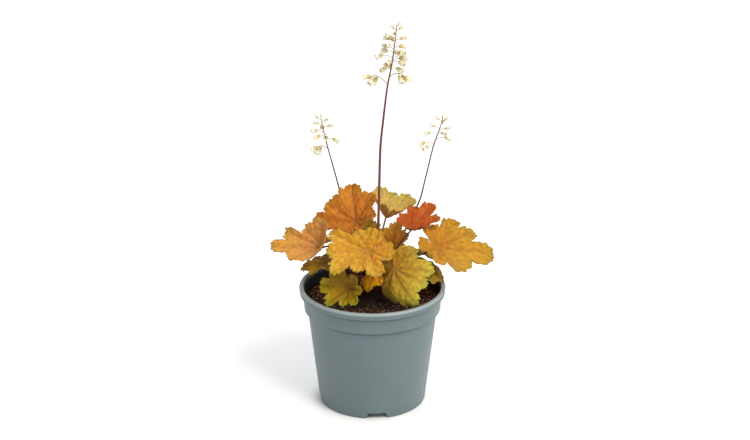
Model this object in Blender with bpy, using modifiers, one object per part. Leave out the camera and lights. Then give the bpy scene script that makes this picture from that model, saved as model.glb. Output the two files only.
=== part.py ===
"""Heuchera (coral bells) grown in a 14 cm nursery pot.

The origin is the middle of the pot's base, on the surface it stands on. +Z is up, and -Y is the
front. All lengths in the tables are millimetres and all angles degrees; MM turns them to metres.
"""

import math
from collections import namedtuple

import bmesh
import bpy
from mathutils import Matrix, Vector, noise

MM = 0.001
GAP = 0.3
MERGE = 0.00001
CUT_LENGTH = 30.0
SMOOTH_ANGLE = 40

POT_HEIGHT = 117.2
RIM_RADIUS = 70.0
RIM_WIDTH = 4.2
LIP_DEPTH = 6.3
LIP_THROAT = 4.0
EDGE_ROUND = 1.0
CHAMFER = 0.6
COLLAR_TOP_RADIUS = 66.5
COLLAR_FOOT_RADIUS = 65.3
COLLAR_FOOT_Z = 95.1
WALL_TOP_RADIUS = 62.3
BASE_RADIUS = 51.3
WALL = 1.6
STEP_BELOW = 2.0
STEP_ABOVE = 1.0
FLOOR_Z = 5.0
FLOOR_THICKNESS = 1.6
FLOOR_FILLET = 1.5
FOOT_RING_WIDTH = 2.4
FOOT_CHAMFER = 1.2
CENTRE_PAD_RADIUS = 16.0
NOTCH_COUNT = 4
NOTCH_TURN = 5.0
NOTCH_GROUND_WIDTH = 23.0
NOTCH_TOP_WIDTH = 16.0
NOTCH_HEIGHT = 6.0
NOTCH_BELOW = 2.0
NOTCH_DEPTH = 16.0
NOTCH_INSET = 2.0
DRAIN_COUNT = 6
DRAIN_RADIUS = 4.0
DRAIN_CIRCLE_RADIUS = 34.0
DRAIN_SIDES = 20
POT_STEPS = 44
POT_COLOUR = (0.17, 0.23, 0.24)
POT_ROUGHNESS = 0.45

SOIL_EDGE_Z = 104.5
SOIL_MOUND = 4.0
SOIL_LUMP = 1.3
SOIL_LUMP_SIZE = 9.0
SOIL_RINGS = 7
SOIL_STEPS = 40
SOIL_GAP = 0.45
SOIL_EDGE_DRAFT = 0.3
SOIL_FINE = 2.1
SOIL_EDGE_CALM = 0.6
SOIL_COLOUR = (0.035, 0.018, 0.010)
SOIL_ROUGHNESS = 0.95

CROWN_RADIUS = 13.4
CROWN_BOTTOM_Z = 98.0
CROWN_TOP_Z = 113.5
CROWN_KNOB = 0.9
CROWN_KNOB_RATE = 3.5
CROWN_SIDES = 18
CROWN_RINGS = 8
CROWN_COLOUR = (0.13, 0.035, 0.025)
CROWN_ROUGHNESS = 0.7
PIT_SIDES = 32
STEM_FOOT_Z = 103.0
STEM_STRAIGHT_TOP_Z = 112.5
STEM_HOLE_SIDES = 6

LOBE_ANGLES = (-138, -92, -46, 0, 46, 92, 138)
LOBE_REACH = (0.66, 0.80, 0.92, 1.0, 0.92, 0.80, 0.66)
LOBE_STEPS = (-1.0, -0.76, -0.48, -0.18, 0.18, 0.48, 0.76)
MIDDLE_STEPS = (-1.0, -0.35, 0.35)
MIDDLE_RING = 0.55
STALK_CUT = 6.0
STALK_CUT_REACH = 0.55
BASAL_SPREAD = 74.0
LOBE_BLUNTNESS = 3.4
TOOTH_NOTCH = 0.48
TOOTH_DEPTH = 0.07
BLADE_THICKNESS = 0.8
FOLD = 0.07
FOLD_LEVEL = 0.4
RIPPLE = 0.035
WAVES = 3
PETIOLE_FOOT_RADIUS = 1.2
PETIOLE_TIP_RADIUS = 0.8
PETIOLE_UNDER_BLADE = 0.8
PETIOLE_RUN = 5.0
PETIOLE_STEPS = 6
PETIOLE_BACK = 0.16
PETIOLE_DOWN = 0.2
PETIOLE_UP = 0.35
LEAF_ROUGHNESS = 0.45

# at is where the leaf stalk meets the blade and spot is where it leaves the crown. heading turns
# the midrib round the pot, pitch lifts its tip and roll lifts its left half. funnel is how steeply
# the blade leaves the joint, and curl is how far it has turned down again one midrib further out.
# sinus is how far the cuts between lobes reach, 1 for none. lobes and turn stretch and turn each
# lobe from the right-hand basal lobe round to the left-hand one. bend lifts the stalk's middle.
Leaf = namedtuple(
    "Leaf", "name at heading pitch roll size funnel curl sinus lobes turn spot bend colour"
)
EVEN = (1, 1, 1, 1, 1, 1, 1)
STRAIGHT = (0, 0, 0, 0, 0, 0, 0)

GOLD = (0.69, 0.37, 0.06)
ORANGE = (0.60, 0.19, 0.02)
LIME = (0.51, 0.33, 0.04)
OLIVE = (0.37, 0.27, 0.03)
PALE = (0.56, 0.41, 0.13)
RED = (0.57, 0.13, 0.03)
BROWN = (0.30, 0.13, 0.01)

LEAVES = (
    Leaf("leaf_right", (62, -5, 156), 0, -25, 20, 49, 23, 11, 0.80,
         (0.95, 0.95, 0.98, 1.14, 0.97, 1.02, 0.85), (8, 3, -14, 11, 2, -12, -10), (11, -3.8), 2, GOLD),
    Leaf("leaf_left", (-48, -8, 159), 161, -34, -33, 44, 33, -8, 0.86,
         (1, 0.8, 1.05, 1.15, 0.88, 1, 1.05), (16, 26, 9, -5, -13, 0, -24), (-8.8, -3), 10, ORANGE),
    Leaf("leaf_tall", (-15.5, 12, 176), 92, 40, -25, 38, 24, 17, 0.88,
         (0.6, 0.86, 0.98, 1.06, 1.08, 1.5, 1.1), (0, 2, 0, 0, 2, -13, -8), (-4.4, 0), 0, ORANGE),
    Leaf("leaf_front_gold", (-3, -28, 162), 209, -17, -17, 48, 19, 26, 0.86,
         (0.92, 1.2, 0.94, 0.95, 0.75, 1.05, 0.85), (40, 26, 15, 5, -12, -24, -26), (-2.2, -3.8), 0, GOLD),
    Leaf("leaf_front_lime", (20, -38, 150), 276, -49, 47, 44, 1, 68, 0.90,
         (1, 1.05, 0.95, 1, 0.95, 1.15, 1), (0, 14, 0, 12, 5, -16, -12), (2.2, -3.8), 16, LIME),
    Leaf("leaf_low_front", (-21, -45, 134), 254, -68, 18, 29, 28, 6, 0.76,
         (1.35, 1.3, 1.05, 0.7, 0.9, 1, 0.9), (2, 4, 4, -6, 7, -6, -12), (-4.4, -7.6), 6, OLIVE),
    Leaf("leaf_back_pale", (13, 38, 171), 91, -3, 19, 37, 42, -9, 0.90,
         (0.95, 1.15, 1.05, 0.85, 0.95, 1.05, 1), (0, 8, 6, 0, -9, -4, 0), (4.4, 7.6), 2, PALE),
    Leaf("leaf_young_red", (36, 5, 171), 47, 0, 11, 32, 36, 4, 0.77,
         (1, 1, 1.1, 1.15, 0.95, 0.8, 0.9), (0, 2, 2, 4, -2, -11, 5), (8.8, 0), 4, RED),
    Leaf("leaf_centre", (18, 13.5, 149), 62, 38, 0, 27, 29, 16, 0.84,
         (0.55, 0.85, 0.95, 1, 0.95, 0.9, 0.88), STRAIGHT, (6.6, 3.8), 0, BROWN),
    Leaf("leaf_low_amber", (3, -30, 143), 239, -36, 23, 22, 13, 38, 0.86,
         (0.6, 0.8, 1, 1, 1, 0.8, 0.6), STRAIGHT, (0, -7.6), 4, ORANGE),
    Leaf("leaf_low_left", (-41, -15, 146), 183, -11, 3, 28.6, 15, 33, 0.84,
         EVEN, STRAIGHT, (-11, -6.6), 6, OLIVE),
    Leaf("leaf_low_right", (49, -24, 144), 345, -26, 3, 23, 13, 38, 0.84,
         EVEN, STRAIGHT, (8.8, -7.6), 6, OLIVE),
    Leaf("leaf_small_green", (37, -4.5, 149.5), 80, 8, 0, 11.2, 20, 20, 0.84,
         EVEN, STRAIGHT, (6.6, -3.8), 4, OLIVE),
    Leaf("leaf_small_olive", (-5, 25, 159), 88, 20, 0, 24, 24, 20, 0.84,
         (0.68, 0.78, 0.8, 0.9, 1, 1, 0.9), STRAIGHT, (-2.2, 3.8), 6, OLIVE),
    Leaf("leaf_back_left", (-30, 37, 149), 122, -18, 0, 38, 15, 40, 0.84,
         EVEN, STRAIGHT, (-4.4, 7.6), 8, GOLD),
    Leaf("leaf_back_right", (33, 39.5, 137), 52, -22, 0, 40, 15, 40, 0.84,
         EVEN, STRAIGHT, (2.2, 11.4), 8, LIME),
    Leaf("leaf_back_low", (1, 50, 130), 90, -28, 0, 32, 15, 40, 0.84,
         EVEN, STRAIGHT, (-2.2, 11.4), 8, GOLD),
    Leaf("leaf_side_left", (-46, 22, 132), 160, -15, 0, 24, 15, 38, 0.84,
         EVEN, STRAIGHT, (-11, 2), 8, OLIVE),
    Leaf("leaf_side_right", (45, 22, 130), 22, -15, 0, 23, 15, 38, 0.84,
         EVEN, STRAIGHT, (11, 3.8), 8, OLIVE),
)

# A stem's corners: bevel resolution 0 makes four and 1 makes six.
STALK_BEVEL = 1
PEDICEL_BEVEL = 0
PEDICEL_RADIUS = 0.4
PEDICEL_RISE = 0.25
PEDICEL_RISE_UP = 0.4
SPRAY_COLOUR = (0.72, 0.62, 0.36)
SPRAY_ROUGHNESS = 0.6
BELL_SIDES = 5
BUD_SHRINK = 0.4
BELL_DROOP = 0.5
BUD_LIFT = 1.9
BELL_GRIP = 0.8
BELL = ((0, 5.0), (2.6, 6.4), (1.8, 4.4), (1.7, 1.2), (0, 0))
ARM_RADIUS = 0.5
ARM_STEPS = 5
# Where along an arm each bell leaves it, how far it turns aside, how much it hangs and on how long a
# twig.
ARM_BELLS = ((1.0, 0.0, -0.15, 0.2), (0.8, 45.0, -0.9, 2.2), (0.62, -50.0, -1.2, 2.2))

# An arm is a long arched branch low on a spray. It leaves the stalk at a height, reaches out at an
# azimuth and rises in an arch. sweep is how far over the arch it goes, 0.5 being its top, and droop
# is how much more its bells hang.
Arm = namedtuple("Arm", "height reach rise sweep droop azimuth")
# route is the flower stalk's line and radii its thickness at the foot and at the tip. bell is the
# size of the lowest bells. florets are (height, reach, azimuth) triples: how high the little stalk
# leaves the main one, how far out the bell hangs, and which way, with 0 to the right, 90 to the back
# and 180 to the left.
Spray = namedtuple("Spray", "name route radii bell florets arms")
SPRAYS = (
    Spray(
        "flower_spray_1",
        ((2.2, 3.8, 103), (2.2, 3.8, 113), (5, 4, 156), (6.4, 3, 213), (7.5, 3, 254), (9.6, 2, 277),
         (12, 2, 299), (14.2, 2, 316), (17.3, 1, 332), (19.8, 1, 350), (21.6, 0, 364), (22, 0, 372)),
        (1.5, 0.4),
        1.02,
        ((371, 1, 0), (367, 2.5, 150), (366, 3, 20), (362, 3, 260), (359, 4, 190), (357, 4.5, 350),
         (356, 5, 165), (355, 3.5, 110), (352, 4.5, 215), (350, 4.5, 10), (349, 5, 155), (347, 4, 300),
         (346, 5, 175), (346, 6, 330), (343, 5, 60), (341, 6, 355), (341, 9, 185), (338, 5, 240),
         (338, 7, 25), (337, 7, 325), (332, 5.5, 100), (332, 4, 200), (331, 5, 340)),
        (Arm(316, 15, 8, 0.62, 0, 178), Arm(323, 13.5, 3.4, 0.95, 0.5, 2)),
    ),
    Spray(
        "flower_spray_2",
        ((-6.6, 3.8, 103), (-6.6, 3.8, 113), (-21, 22, 150), (-28, 37, 181), (-32.5, 38, 204),
         (-42, 38, 241), (-46, 38, 258.5), (-48, 38, 269), (-48.5, 38, 273)),
        (1.0, 0.35),
        0.9,
        ((272.5, 0.5, 90), (270, 2.5, 200), (268, 2.5, 340), (265, 3.5, 190), (262.5, 4, 0),
         (260, 3, 100), (258, 6, 185), (256, 4, 280), (253.5, 4.5, 190), (250.5, 6.5, 350)),
        (Arm(242, 9.5, 2.6, 0.7, 0.4, 186),),
    ),
    Spray(
        "flower_spray_3",
        ((8.8, 7.6, 103), (8.8, 7.6, 113), (26, 27, 150), (43.5, 34, 186), (48, 34, 201),
         (57.5, 34, 244), (63, 34, 261), (65.5, 34, 270), (66.3, 34, 274)),
        (1.0, 0.35),
        0.9,
        ((273, 0.5, 90), (270, 3, 170), (269.5, 3, 0), (266, 2.5, 60), (263, 4.5, 175), (261, 5, 350),
         (258, 3, 330), (256.5, 6.5, 180), (252, 8, 355), (247, 8.5, 178), (245, 5, 200)),
        (),
    ),
)


def mm(*values):
    """A point or vector given in millimetres, in metres."""
    return Vector(values) * MM


def collection(name):
    made = bpy.data.collections.new(name)
    bpy.context.scene.collection.children.link(made)
    return made


def material(name, colour, roughness):
    made = bpy.data.materials.new(name)
    made.use_nodes = True
    shader = made.node_tree.nodes["Principled BSDF"]
    shader.inputs["Base Color"].default_value = (*colour, 1)
    shader.inputs["Roughness"].default_value = roughness
    shader.inputs["Metallic"].default_value = 0
    return made


def place(mesh, name, home):
    made = bpy.data.objects.new(name, mesh)
    home.objects.link(made)
    return made


def turned(name, profile, steps, home):
    """A solid of revolution: the profile is (radius, height) pairs that end on the axis."""
    mesh = bpy.data.meshes.new(name)
    points = [mm(radius, 0, height) for radius, height in profile]
    edges = [(i, i + 1) for i in range(len(points) - 1)]
    mesh.from_pydata(points, edges, [])
    made = place(mesh, name, home)
    screw = made.modifiers.new("turn", "SCREW")
    screw.steps = steps
    screw.render_steps = steps
    screw.use_merge_vertices = True
    screw.merge_threshold = MERGE
    return made


def tube(name, points, radii, bevel, home):
    """A stem through the points, with capped ends."""
    curve = bpy.data.curves.new(name, "CURVE")
    curve.dimensions = "3D"
    curve.bevel_depth = MM
    curve.bevel_resolution = bevel
    curve.use_fill_caps = True
    spline = curve.splines.new("POLY")
    spline.points.add(len(points) - 1)
    for knot, point, radius in zip(spline.points, points, radii):
        knot.co = (*point, 1)
        knot.radius = radius
    return place(curve, name, home)


def as_mesh(source, home):
    """Swaps an object with modifiers, or a curve, for the plain closed mesh that it makes."""
    graph = bpy.context.evaluated_depsgraph_get()
    mesh = bpy.data.meshes.new_from_object(source.evaluated_get(graph))
    work = bmesh.new()
    work.from_mesh(mesh)
    bmesh.ops.remove_doubles(work, verts=work.verts, dist=MERGE)
    work.to_mesh(mesh)
    work.free()
    name = source.name
    matrix = source.matrix_world.copy()
    bpy.data.objects.remove(source)
    made = place(mesh, name, home)
    made.matrix_world = matrix
    return made


def combine(target, pieces, operation, home):
    """Joins the pieces to the target, or cuts them out of it, and removes them."""
    group = collection("pieces")
    for piece in pieces:
        for holder in list(piece.users_collection):
            holder.objects.unlink(piece)
        group.objects.link(piece)
    boolean = target.modifiers.new("combine", "BOOLEAN")
    boolean.operation = operation
    boolean.operand_type = "COLLECTION"
    boolean.collection = group
    boolean.solver = "EXACT"
    bpy.context.view_layer.update()
    made = as_mesh(target, home)
    for piece in pieces:
        bpy.data.objects.remove(piece)
    bpy.data.collections.remove(group)
    return made


def finish(piece, finish_material):
    piece.data.materials.clear()
    piece.data.materials.append(finish_material)
    piece.data.shade_smooth()
    piece.data.set_sharp_from_angle(angle=math.radians(SMOOTH_ANGLE))


def inside_of_wall(gap):
    """The pot's inner profile from the middle of the floor up to the collar, drawn in by a gap."""
    floor_top = FLOOR_Z + FLOOR_THICKNESS
    slope = (WALL_TOP_RADIUS - BASE_RADIUS) / COLLAR_FOOT_Z
    base = BASE_RADIUS + slope * floor_top - WALL - gap
    return (
        (0, floor_top + gap),
        (base - FLOOR_FILLET, floor_top + gap),
        (base, floor_top + FLOOR_FILLET),
        (WALL_TOP_RADIUS - WALL - gap, COLLAR_FOOT_Z - STEP_BELOW),
        (COLLAR_FOOT_RADIUS - WALL - gap, COLLAR_FOOT_Z + STEP_ABOVE + gap),
    )


def make_pot(home, cutters):
    """The moulded pot: a lip over a collar, a tapered wall, a raised floor and a notched foot."""
    inner_top = RIM_RADIUS - RIM_WIDTH
    lip_bottom = POT_HEIGHT - LIP_DEPTH
    profile = (
        *inside_of_wall(0),
        (inner_top - EDGE_ROUND, POT_HEIGHT - LIP_THROAT),
        (inner_top, POT_HEIGHT - CHAMFER),
        (inner_top + CHAMFER, POT_HEIGHT),
        (RIM_RADIUS - EDGE_ROUND, POT_HEIGHT),
        (RIM_RADIUS, POT_HEIGHT - EDGE_ROUND),
        (RIM_RADIUS - CHAMFER / 2, lip_bottom + CHAMFER),
        (RIM_RADIUS - EDGE_ROUND, lip_bottom),
        (COLLAR_TOP_RADIUS, lip_bottom + CHAMFER),
        (COLLAR_FOOT_RADIUS, COLLAR_FOOT_Z + CHAMFER),
        (COLLAR_FOOT_RADIUS - CHAMFER, COLLAR_FOOT_Z),
        (WALL_TOP_RADIUS, COLLAR_FOOT_Z - CHAMFER),
        (BASE_RADIUS, FOOT_CHAMFER),
        (BASE_RADIUS - EDGE_ROUND, 0),
        (BASE_RADIUS - FOOT_RING_WIDTH, 0),
        (BASE_RADIUS - FOOT_RING_WIDTH - CHAMFER, FLOOR_Z),
        (CENTRE_PAD_RADIUS + EDGE_ROUND, FLOOR_Z),
        (CENTRE_PAD_RADIUS, 0),
        (0, 0),
    )
    pot = as_mesh(turned("pot", profile, POT_STEPS, home), home)
    cuts = []
    for i in range(NOTCH_COUNT):
        turn = math.radians(-90 + NOTCH_TURN + 360 * i / NOTCH_COUNT)
        cuts.append(notch_cutter(f"notch_{i + 1}", turn, cutters))
    for i in range(DRAIN_COUNT):
        turn = math.tau * (i + 0.5) / DRAIN_COUNT
        middle = mm(DRAIN_CIRCLE_RADIUS * math.cos(turn), DRAIN_CIRCLE_RADIUS * math.sin(turn), 0)
        cuts.append(cylinder_cutter(f"drain_{i + 1}", middle, DRAIN_RADIUS, DRAIN_SIDES, cutters))
    pot = combine(pot, cuts, "DIFFERENCE", home)
    finish(pot, material("pot_plastic", POT_COLOUR, POT_ROUGHNESS))
    return pot


def take_over(name, home):
    """Names the object that an operator just made and moves it to its collection."""
    made = bpy.context.object
    made.name = name
    for holder in list(made.users_collection):
        holder.objects.unlink(made)
    home.objects.link(made)
    return made


def as_cutter(name, cutters):
    made = take_over(name, cutters)
    made.display_type = "WIRE"
    made.hide_render = True
    return made


def cylinder_cutter(name, foot, radius, sides, cutters):
    """An upright cylinder that stands on its foot point and reaches out over everything there."""
    bpy.ops.mesh.primitive_cylinder_add(
        vertices=sides,
        radius=radius * MM,
        depth=CUT_LENGTH * MM,
        location=foot + mm(0, 0, CUT_LENGTH / 2),
    )
    return as_cutter(name, cutters)


def notch_cutter(name, turn, cutters):
    """A short bar across the foot ring, narrower at the top than at the ground."""
    slope = (NOTCH_GROUND_WIDTH - NOTCH_TOP_WIDTH) / NOTCH_HEIGHT
    bpy.ops.mesh.primitive_cube_add(size=1)
    bar = as_cutter(name, cutters)
    for corner in bar.data.vertices:
        high = corner.co.z > 0
        z = NOTCH_HEIGHT if high else -NOTCH_BELOW
        width = NOTCH_TOP_WIDTH if high else NOTCH_GROUND_WIDTH + slope * NOTCH_BELOW
        corner.co = mm(corner.co.x * NOTCH_DEPTH, corner.co.y * width, z)
    outward = Matrix.Translation(mm(BASE_RADIUS - NOTCH_INSET, 0, 0))
    bar.matrix_world = Matrix.Rotation(turn, 4, "Z") @ outward
    return bar


def soil_height(x, y):
    """The height of the soil's surface over a point of the pot, in millimetres."""
    out = min(1, math.hypot(x, y) / COLLAR_FOOT_RADIUS)
    mound = SOIL_MOUND * (1 - out * out)
    spot = Vector((x, y, 0)) / SOIL_LUMP_SIZE
    lump = SOIL_LUMP * (noise.noise(spot) + noise.noise(spot * SOIL_FINE) / 2)
    return SOIL_EDGE_Z + mound + lump * (1 - SOIL_EDGE_CALM * out)


def make_soil(home, cutters):
    """Peat and bark that fills the pot, with a mounded, lumpy top and a pit for the crown."""
    side = inside_of_wall(SOIL_GAP)
    edge = side[-1][0] + SOIL_EDGE_DRAFT
    rings = [(edge * i / SOIL_RINGS, SOIL_EDGE_Z) for i in range(SOIL_RINGS + 1)]
    profile = rings + list(reversed(side))
    soil = as_mesh(turned("soil", profile, SOIL_STEPS, home), home)
    for point in soil.data.vertices:
        if point.co.z > (SOIL_EDGE_Z - GAP) * MM:
            point.co.z = soil_height(point.co.x / MM, point.co.y / MM) * MM
    foot = mm(0, 0, CROWN_BOTTOM_Z - CROWN_KNOB - GAP)
    pit = cylinder_cutter("crown_pit", foot, CROWN_RADIUS + CROWN_KNOB + GAP, PIT_SIDES, cutters)
    soil = combine(soil, [pit], "DIFFERENCE", home)
    finish(soil, material("peat_soil", SOIL_COLOUR, SOIL_ROUGHNESS))
    return soil


def make_crown(home, cutters):
    """The knobbly woody base that every leaf stalk and flower stalk rises from."""
    bpy.ops.mesh.primitive_uv_sphere_add(segments=CROWN_SIDES, ring_count=CROWN_RINGS, radius=1)
    crown = take_over("crown", home)
    middle = (CROWN_BOTTOM_Z + CROWN_TOP_Z) / 2
    half = (CROWN_TOP_Z - CROWN_BOTTOM_Z) / 2
    for point in crown.data.vertices:
        knob = 1 + CROWN_KNOB / CROWN_RADIUS * noise.noise(point.co * CROWN_KNOB_RATE)
        side = point.co * knob
        point.co = mm(side.x * CROWN_RADIUS, side.y * CROWN_RADIUS, middle + side.z * half)
    stems = [(leaf.spot, PETIOLE_FOOT_RADIUS) for leaf in LEAVES]
    stems += [(spray.route[0][:2], spray.radii[0]) for spray in SPRAYS]
    holes = []
    for i, (spot, radius) in enumerate(stems):
        corner = (radius + GAP) / math.cos(math.pi / STEM_HOLE_SIDES)
        foot = mm(*spot, STEM_FOOT_Z - GAP)
        holes.append(cylinder_cutter(f"stem_hole_{i + 1}", foot, corner, STEM_HOLE_SIDES, cutters))
    crown = combine(crown, holes, "DIFFERENCE", home)
    finish(crown, material("crown_bark", CROWN_COLOUR, CROWN_ROUGHNESS))
    return crown


def lobe_ends(leaf):
    """Each lobe of a leaf as (right sinus, tip, left sinus), every one an (angle, reach) pair."""
    tips = [
        (angle + turn, reach * stretch)
        for angle, reach, turn, stretch in zip(LOBE_ANGLES, LOBE_REACH, leaf.turn, leaf.lobes)
    ]
    cuts = [
        ((a[0] + b[0]) / 2, leaf.sinus * min(a[1], b[1]))
        for a, b in zip(tips, tips[1:])
    ]
    limit = 180 - STALK_CUT / 2
    first = (max(-limit, tips[0][0] - BASAL_SPREAD), STALK_CUT_REACH * tips[0][1])
    last = (min(limit, tips[-1][0] + BASAL_SPREAD), STALK_CUT_REACH * tips[-1][1])
    cuts = [first, *cuts, last]
    return list(zip(cuts, tips, cuts[1:]))


def margin(lobe, u):
    """Angle and reach of the leaf's edge at u, which runs from -1 to 1 across a lobe."""
    right, tip, left = lobe
    cut = right if u < 0 else left
    angle = tip[0] + abs(u) * (cut[0] - tip[0])
    reach = cut[1] + (tip[1] - cut[1]) * (1 - abs(u) ** LOBE_BLUNTNESS)
    if abs(u) == TOOTH_NOTCH:
        reach *= 1 - TOOTH_DEPTH
    return angle, reach


def leaf_frame(leaf):
    turns = Matrix.Rotation(math.radians(leaf.heading), 4, "Z")
    turns @= Matrix.Rotation(math.radians(-leaf.pitch), 4, "Y")
    turns @= Matrix.Rotation(math.radians(leaf.roll), 4, "X")
    return Matrix.Translation(mm(*leaf.at)) @ turns


def on_blade(leaf, angle, out, u, lift=0.0):
    """The point of the blade at an angle from the midrib, out being 1 a midrib's length away.

    Every line out from the joint is an arc of a circle, so the blade is a shallow funnel whose
    edge turns down. It dips along the lobes' veins, and slow waves run round its edge.
    """
    start = math.radians(leaf.funnel)
    curl = math.radians(leaf.curl)
    reach = (math.sin(start) - math.sin(start - curl * out)) / curl
    rise = (math.cos(start - curl * out) - math.cos(start)) / curl
    wave = math.sin(WAVES * math.radians(angle) + leaf.size)
    rise += FOLD * out * (u * u - FOLD_LEVEL) + RIPPLE * out * out * wave
    side = math.radians(angle)
    scale = leaf.size * MM
    point = Vector((reach * math.cos(side), reach * math.sin(side), rise)) * scale
    return leaf_frame(leaf) @ (point + mm(0, 0, lift))


def stitch(work, inner, outer):
    """Fills between two rings of (angle, vertex) pairs with triangles, whatever their counts."""
    i = 0
    j = 0
    while i + 1 < len(inner) or j + 1 < len(outer):
        inner_next = inner[i + 1][0] if i + 1 < len(inner) else math.inf
        outer_next = outer[j + 1][0] if j + 1 < len(outer) else math.inf
        if outer_next <= inner_next:
            work.faces.new((inner[i][1], outer[j][1], outer[j + 1][1]))
            j += 1
        else:
            work.faces.new((inner[i][1], outer[j][1], inner[i + 1][1]))
            i += 1


def blade(leaf, home):
    """The leaf's surface as rings of triangles round the joint, coarse inside and toothed outside."""
    work = bmesh.new()
    hub = work.verts.new(on_blade(leaf, 0, 0, 0))
    inner = [(0, hub)]
    for out, steps in ((MIDDLE_RING, MIDDLE_STEPS), (1.0, LOBE_STEPS)):
        edge = [(*margin(lobe, u), u) for lobe in lobe_ends(leaf) for u in steps]
        edge.append((*margin(lobe_ends(leaf)[-1], 1.0), 1.0))
        outer = [
            (angle, work.verts.new(on_blade(leaf, angle, out * reach, u)))
            for angle, reach, u in edge
        ]
        stitch(work, inner, outer)
        inner = outer
    mesh = bpy.data.meshes.new(leaf.name)
    work.to_mesh(mesh)
    work.free()
    made = place(mesh, leaf.name, home)
    thick = made.modifiers.new("thickness", "SOLIDIFY")
    thick.thickness = BLADE_THICKNESS * MM
    thick.offset = 0
    return as_mesh(made, home)


def bezier(points, t):
    a, b, c, d = points
    s = 1 - t
    return a * s ** 3 + b * 3 * s * s * t + c * 3 * s * t * t + d * t ** 3


def petiole_path(leaf):
    """The leaf stalk: upright in its hole, arched to the joint, then sunk under the midrib."""
    foot = mm(*leaf.spot, STEM_STRAIGHT_TOP_Z)
    under = -PETIOLE_UNDER_BLADE
    joint = on_blade(leaf, 0, 0, 0, under)
    axes = leaf_frame(leaf).to_3x3()
    span = (joint - foot).length
    bend = mm(0, 0, leaf.bend)
    handle_in = joint - axes.col[0] * span * PETIOLE_BACK - axes.col[2] * span * PETIOLE_DOWN + bend
    handle_out = foot + Vector((0, 0, span * PETIOLE_UP)) + bend
    ends = (foot, handle_out, handle_in, joint)
    arch = [bezier(ends, i / PETIOLE_STEPS) for i in range(PETIOLE_STEPS + 1)]
    run = on_blade(leaf, 0, PETIOLE_RUN / leaf.size, 0, under)
    points = [mm(*leaf.spot, STEM_FOOT_Z), *arch, run]
    last = len(points) - 1
    taper = PETIOLE_FOOT_RADIUS - PETIOLE_TIP_RADIUS
    radii = [PETIOLE_FOOT_RADIUS - taper * i / last for i in range(last + 1)]
    return points, radii


def make_leaf(leaf, home):
    points, radii = petiole_path(leaf)
    stem = as_mesh(tube(f"{leaf.name}_stem", points, radii, STALK_BEVEL, home), home)
    made = combine(blade(leaf, home), [stem], "UNION", home)
    finish(made, material(leaf.name, leaf.colour, LEAF_ROUGHNESS))
    return made


def along(route, height):
    """The point of a stalk's route at a height."""
    for a, b in zip(route, route[1:]):
        if a[2] <= height <= b[2]:
            return Vector(a).lerp(Vector(b), (height - a[2]) / (b[2] - a[2]))
    return Vector(route[-1])


def smooth_route(route):
    """The route with a point halfway along each stretch, on a curve through the given ones."""
    points = [Vector(p) for p in route]
    full = [points[0]]
    for i in range(1, len(points)):
        before = points[max(0, i - 2)]
        after = points[min(len(points) - 1, i + 1)]
        a = points[i - 1]
        b = points[i]
        if i > 1:
            full.append((a + b) * 0.5625 - (before + after) * 0.0625)
        full.append(b)
    return full


def twig(name, start, end, home):
    """A thin little stalk between two points given in millimetres."""
    stem = tube(name, [start * MM, end * MM], (PEDICEL_RADIUS,) * 2, PEDICEL_BEVEL, home)
    return as_mesh(stem, home)


def bell_at(mesh, name, base, direction, size, home):
    bell = place(mesh, name, home)
    turn = direction.to_track_quat("Z", "Y").to_matrix().to_4x4()
    bell.matrix_world = Matrix.Translation(base) @ turn @ Matrix.Scale(size, 4)
    return bell


def make_spray(spray, home):
    """A flower stalk with its bells, each on a thin pedicel that starts inside the stalk."""
    bell_mesh = as_mesh(turned("bell", BELL, BELL_SIDES, home), home)
    route = smooth_route(spray.route)
    last = len(route) - 1
    foot, tip = spray.radii
    radii = [foot + (tip - foot) * i / last for i in range(last + 1)]
    stalk = as_mesh(tube(spray.name, [p * MM for p in route], radii, STALK_BEVEL, home), home)
    pieces = []
    lowest = min(height for height, reach, azimuth in spray.florets)
    highest = spray.route[-1][2]
    for i, (height, reach, azimuth) in enumerate(spray.florets):
        up = (height - lowest) / (highest - lowest)
        side = math.radians(azimuth)
        start = along(spray.route, height)
        out = Vector((math.cos(side), math.sin(side), 0))
        base = start + out * reach + Vector((0, 0, reach * (PEDICEL_RISE + PEDICEL_RISE_UP * up)))
        aim = (out + Vector((0, 0, BUD_LIFT * up ** 2 - BELL_DROOP))).normalized()
        size = spray.bell - BUD_SHRINK * up ** 2
        pieces.append(twig(f"pedicel_{i}", start, base + aim * BELL_GRIP, home))
        pieces.append(bell_at(bell_mesh.data, f"bell_{i}", base * MM, aim, size, home))
    for i, arm in enumerate(spray.arms):
        pieces += make_arm(f"arm_{i}", spray, arm, bell_mesh.data, home)
    bpy.data.objects.remove(bell_mesh)
    made = combine(stalk, pieces, "UNION", home)
    finish(made, material(spray.name, SPRAY_COLOUR, SPRAY_ROUGHNESS))
    return made


def make_arm(name, spray, arm, bell_mesh, home):
    """A long branch low on the spray that arches out and hangs three bells from its end."""
    side = math.radians(arm.azimuth)
    out = Vector((math.cos(side), math.sin(side), 0))
    start = along(spray.route, arm.height)
    path = []
    for i in range(ARM_STEPS + 1):
        t = i / ARM_STEPS
        lift = arm.rise * math.sin(math.pi * arm.sweep * t)
        path.append(start + out * arm.reach * t + Vector((0, 0, lift)))
    stem = tube(name, [p * MM for p in path], (ARM_RADIUS,) * len(path), PEDICEL_BEVEL, home)
    pieces = [as_mesh(stem, home)]
    for i, (t, spread, drop, length) in enumerate(ARM_BELLS):
        turn = side + math.radians(spread)
        aim = Vector((math.cos(turn), math.sin(turn), drop - arm.droop)).normalized()
        knot = path[round(t * ARM_STEPS)]
        base = knot + aim * length
        pieces.append(twig(f"{name}_twig_{i}", knot, base + aim * BELL_GRIP, home))
        pieces.append(bell_at(bell_mesh, f"{name}_bell_{i}", base * MM, aim, spray.bell, home))
    return pieces


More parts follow.
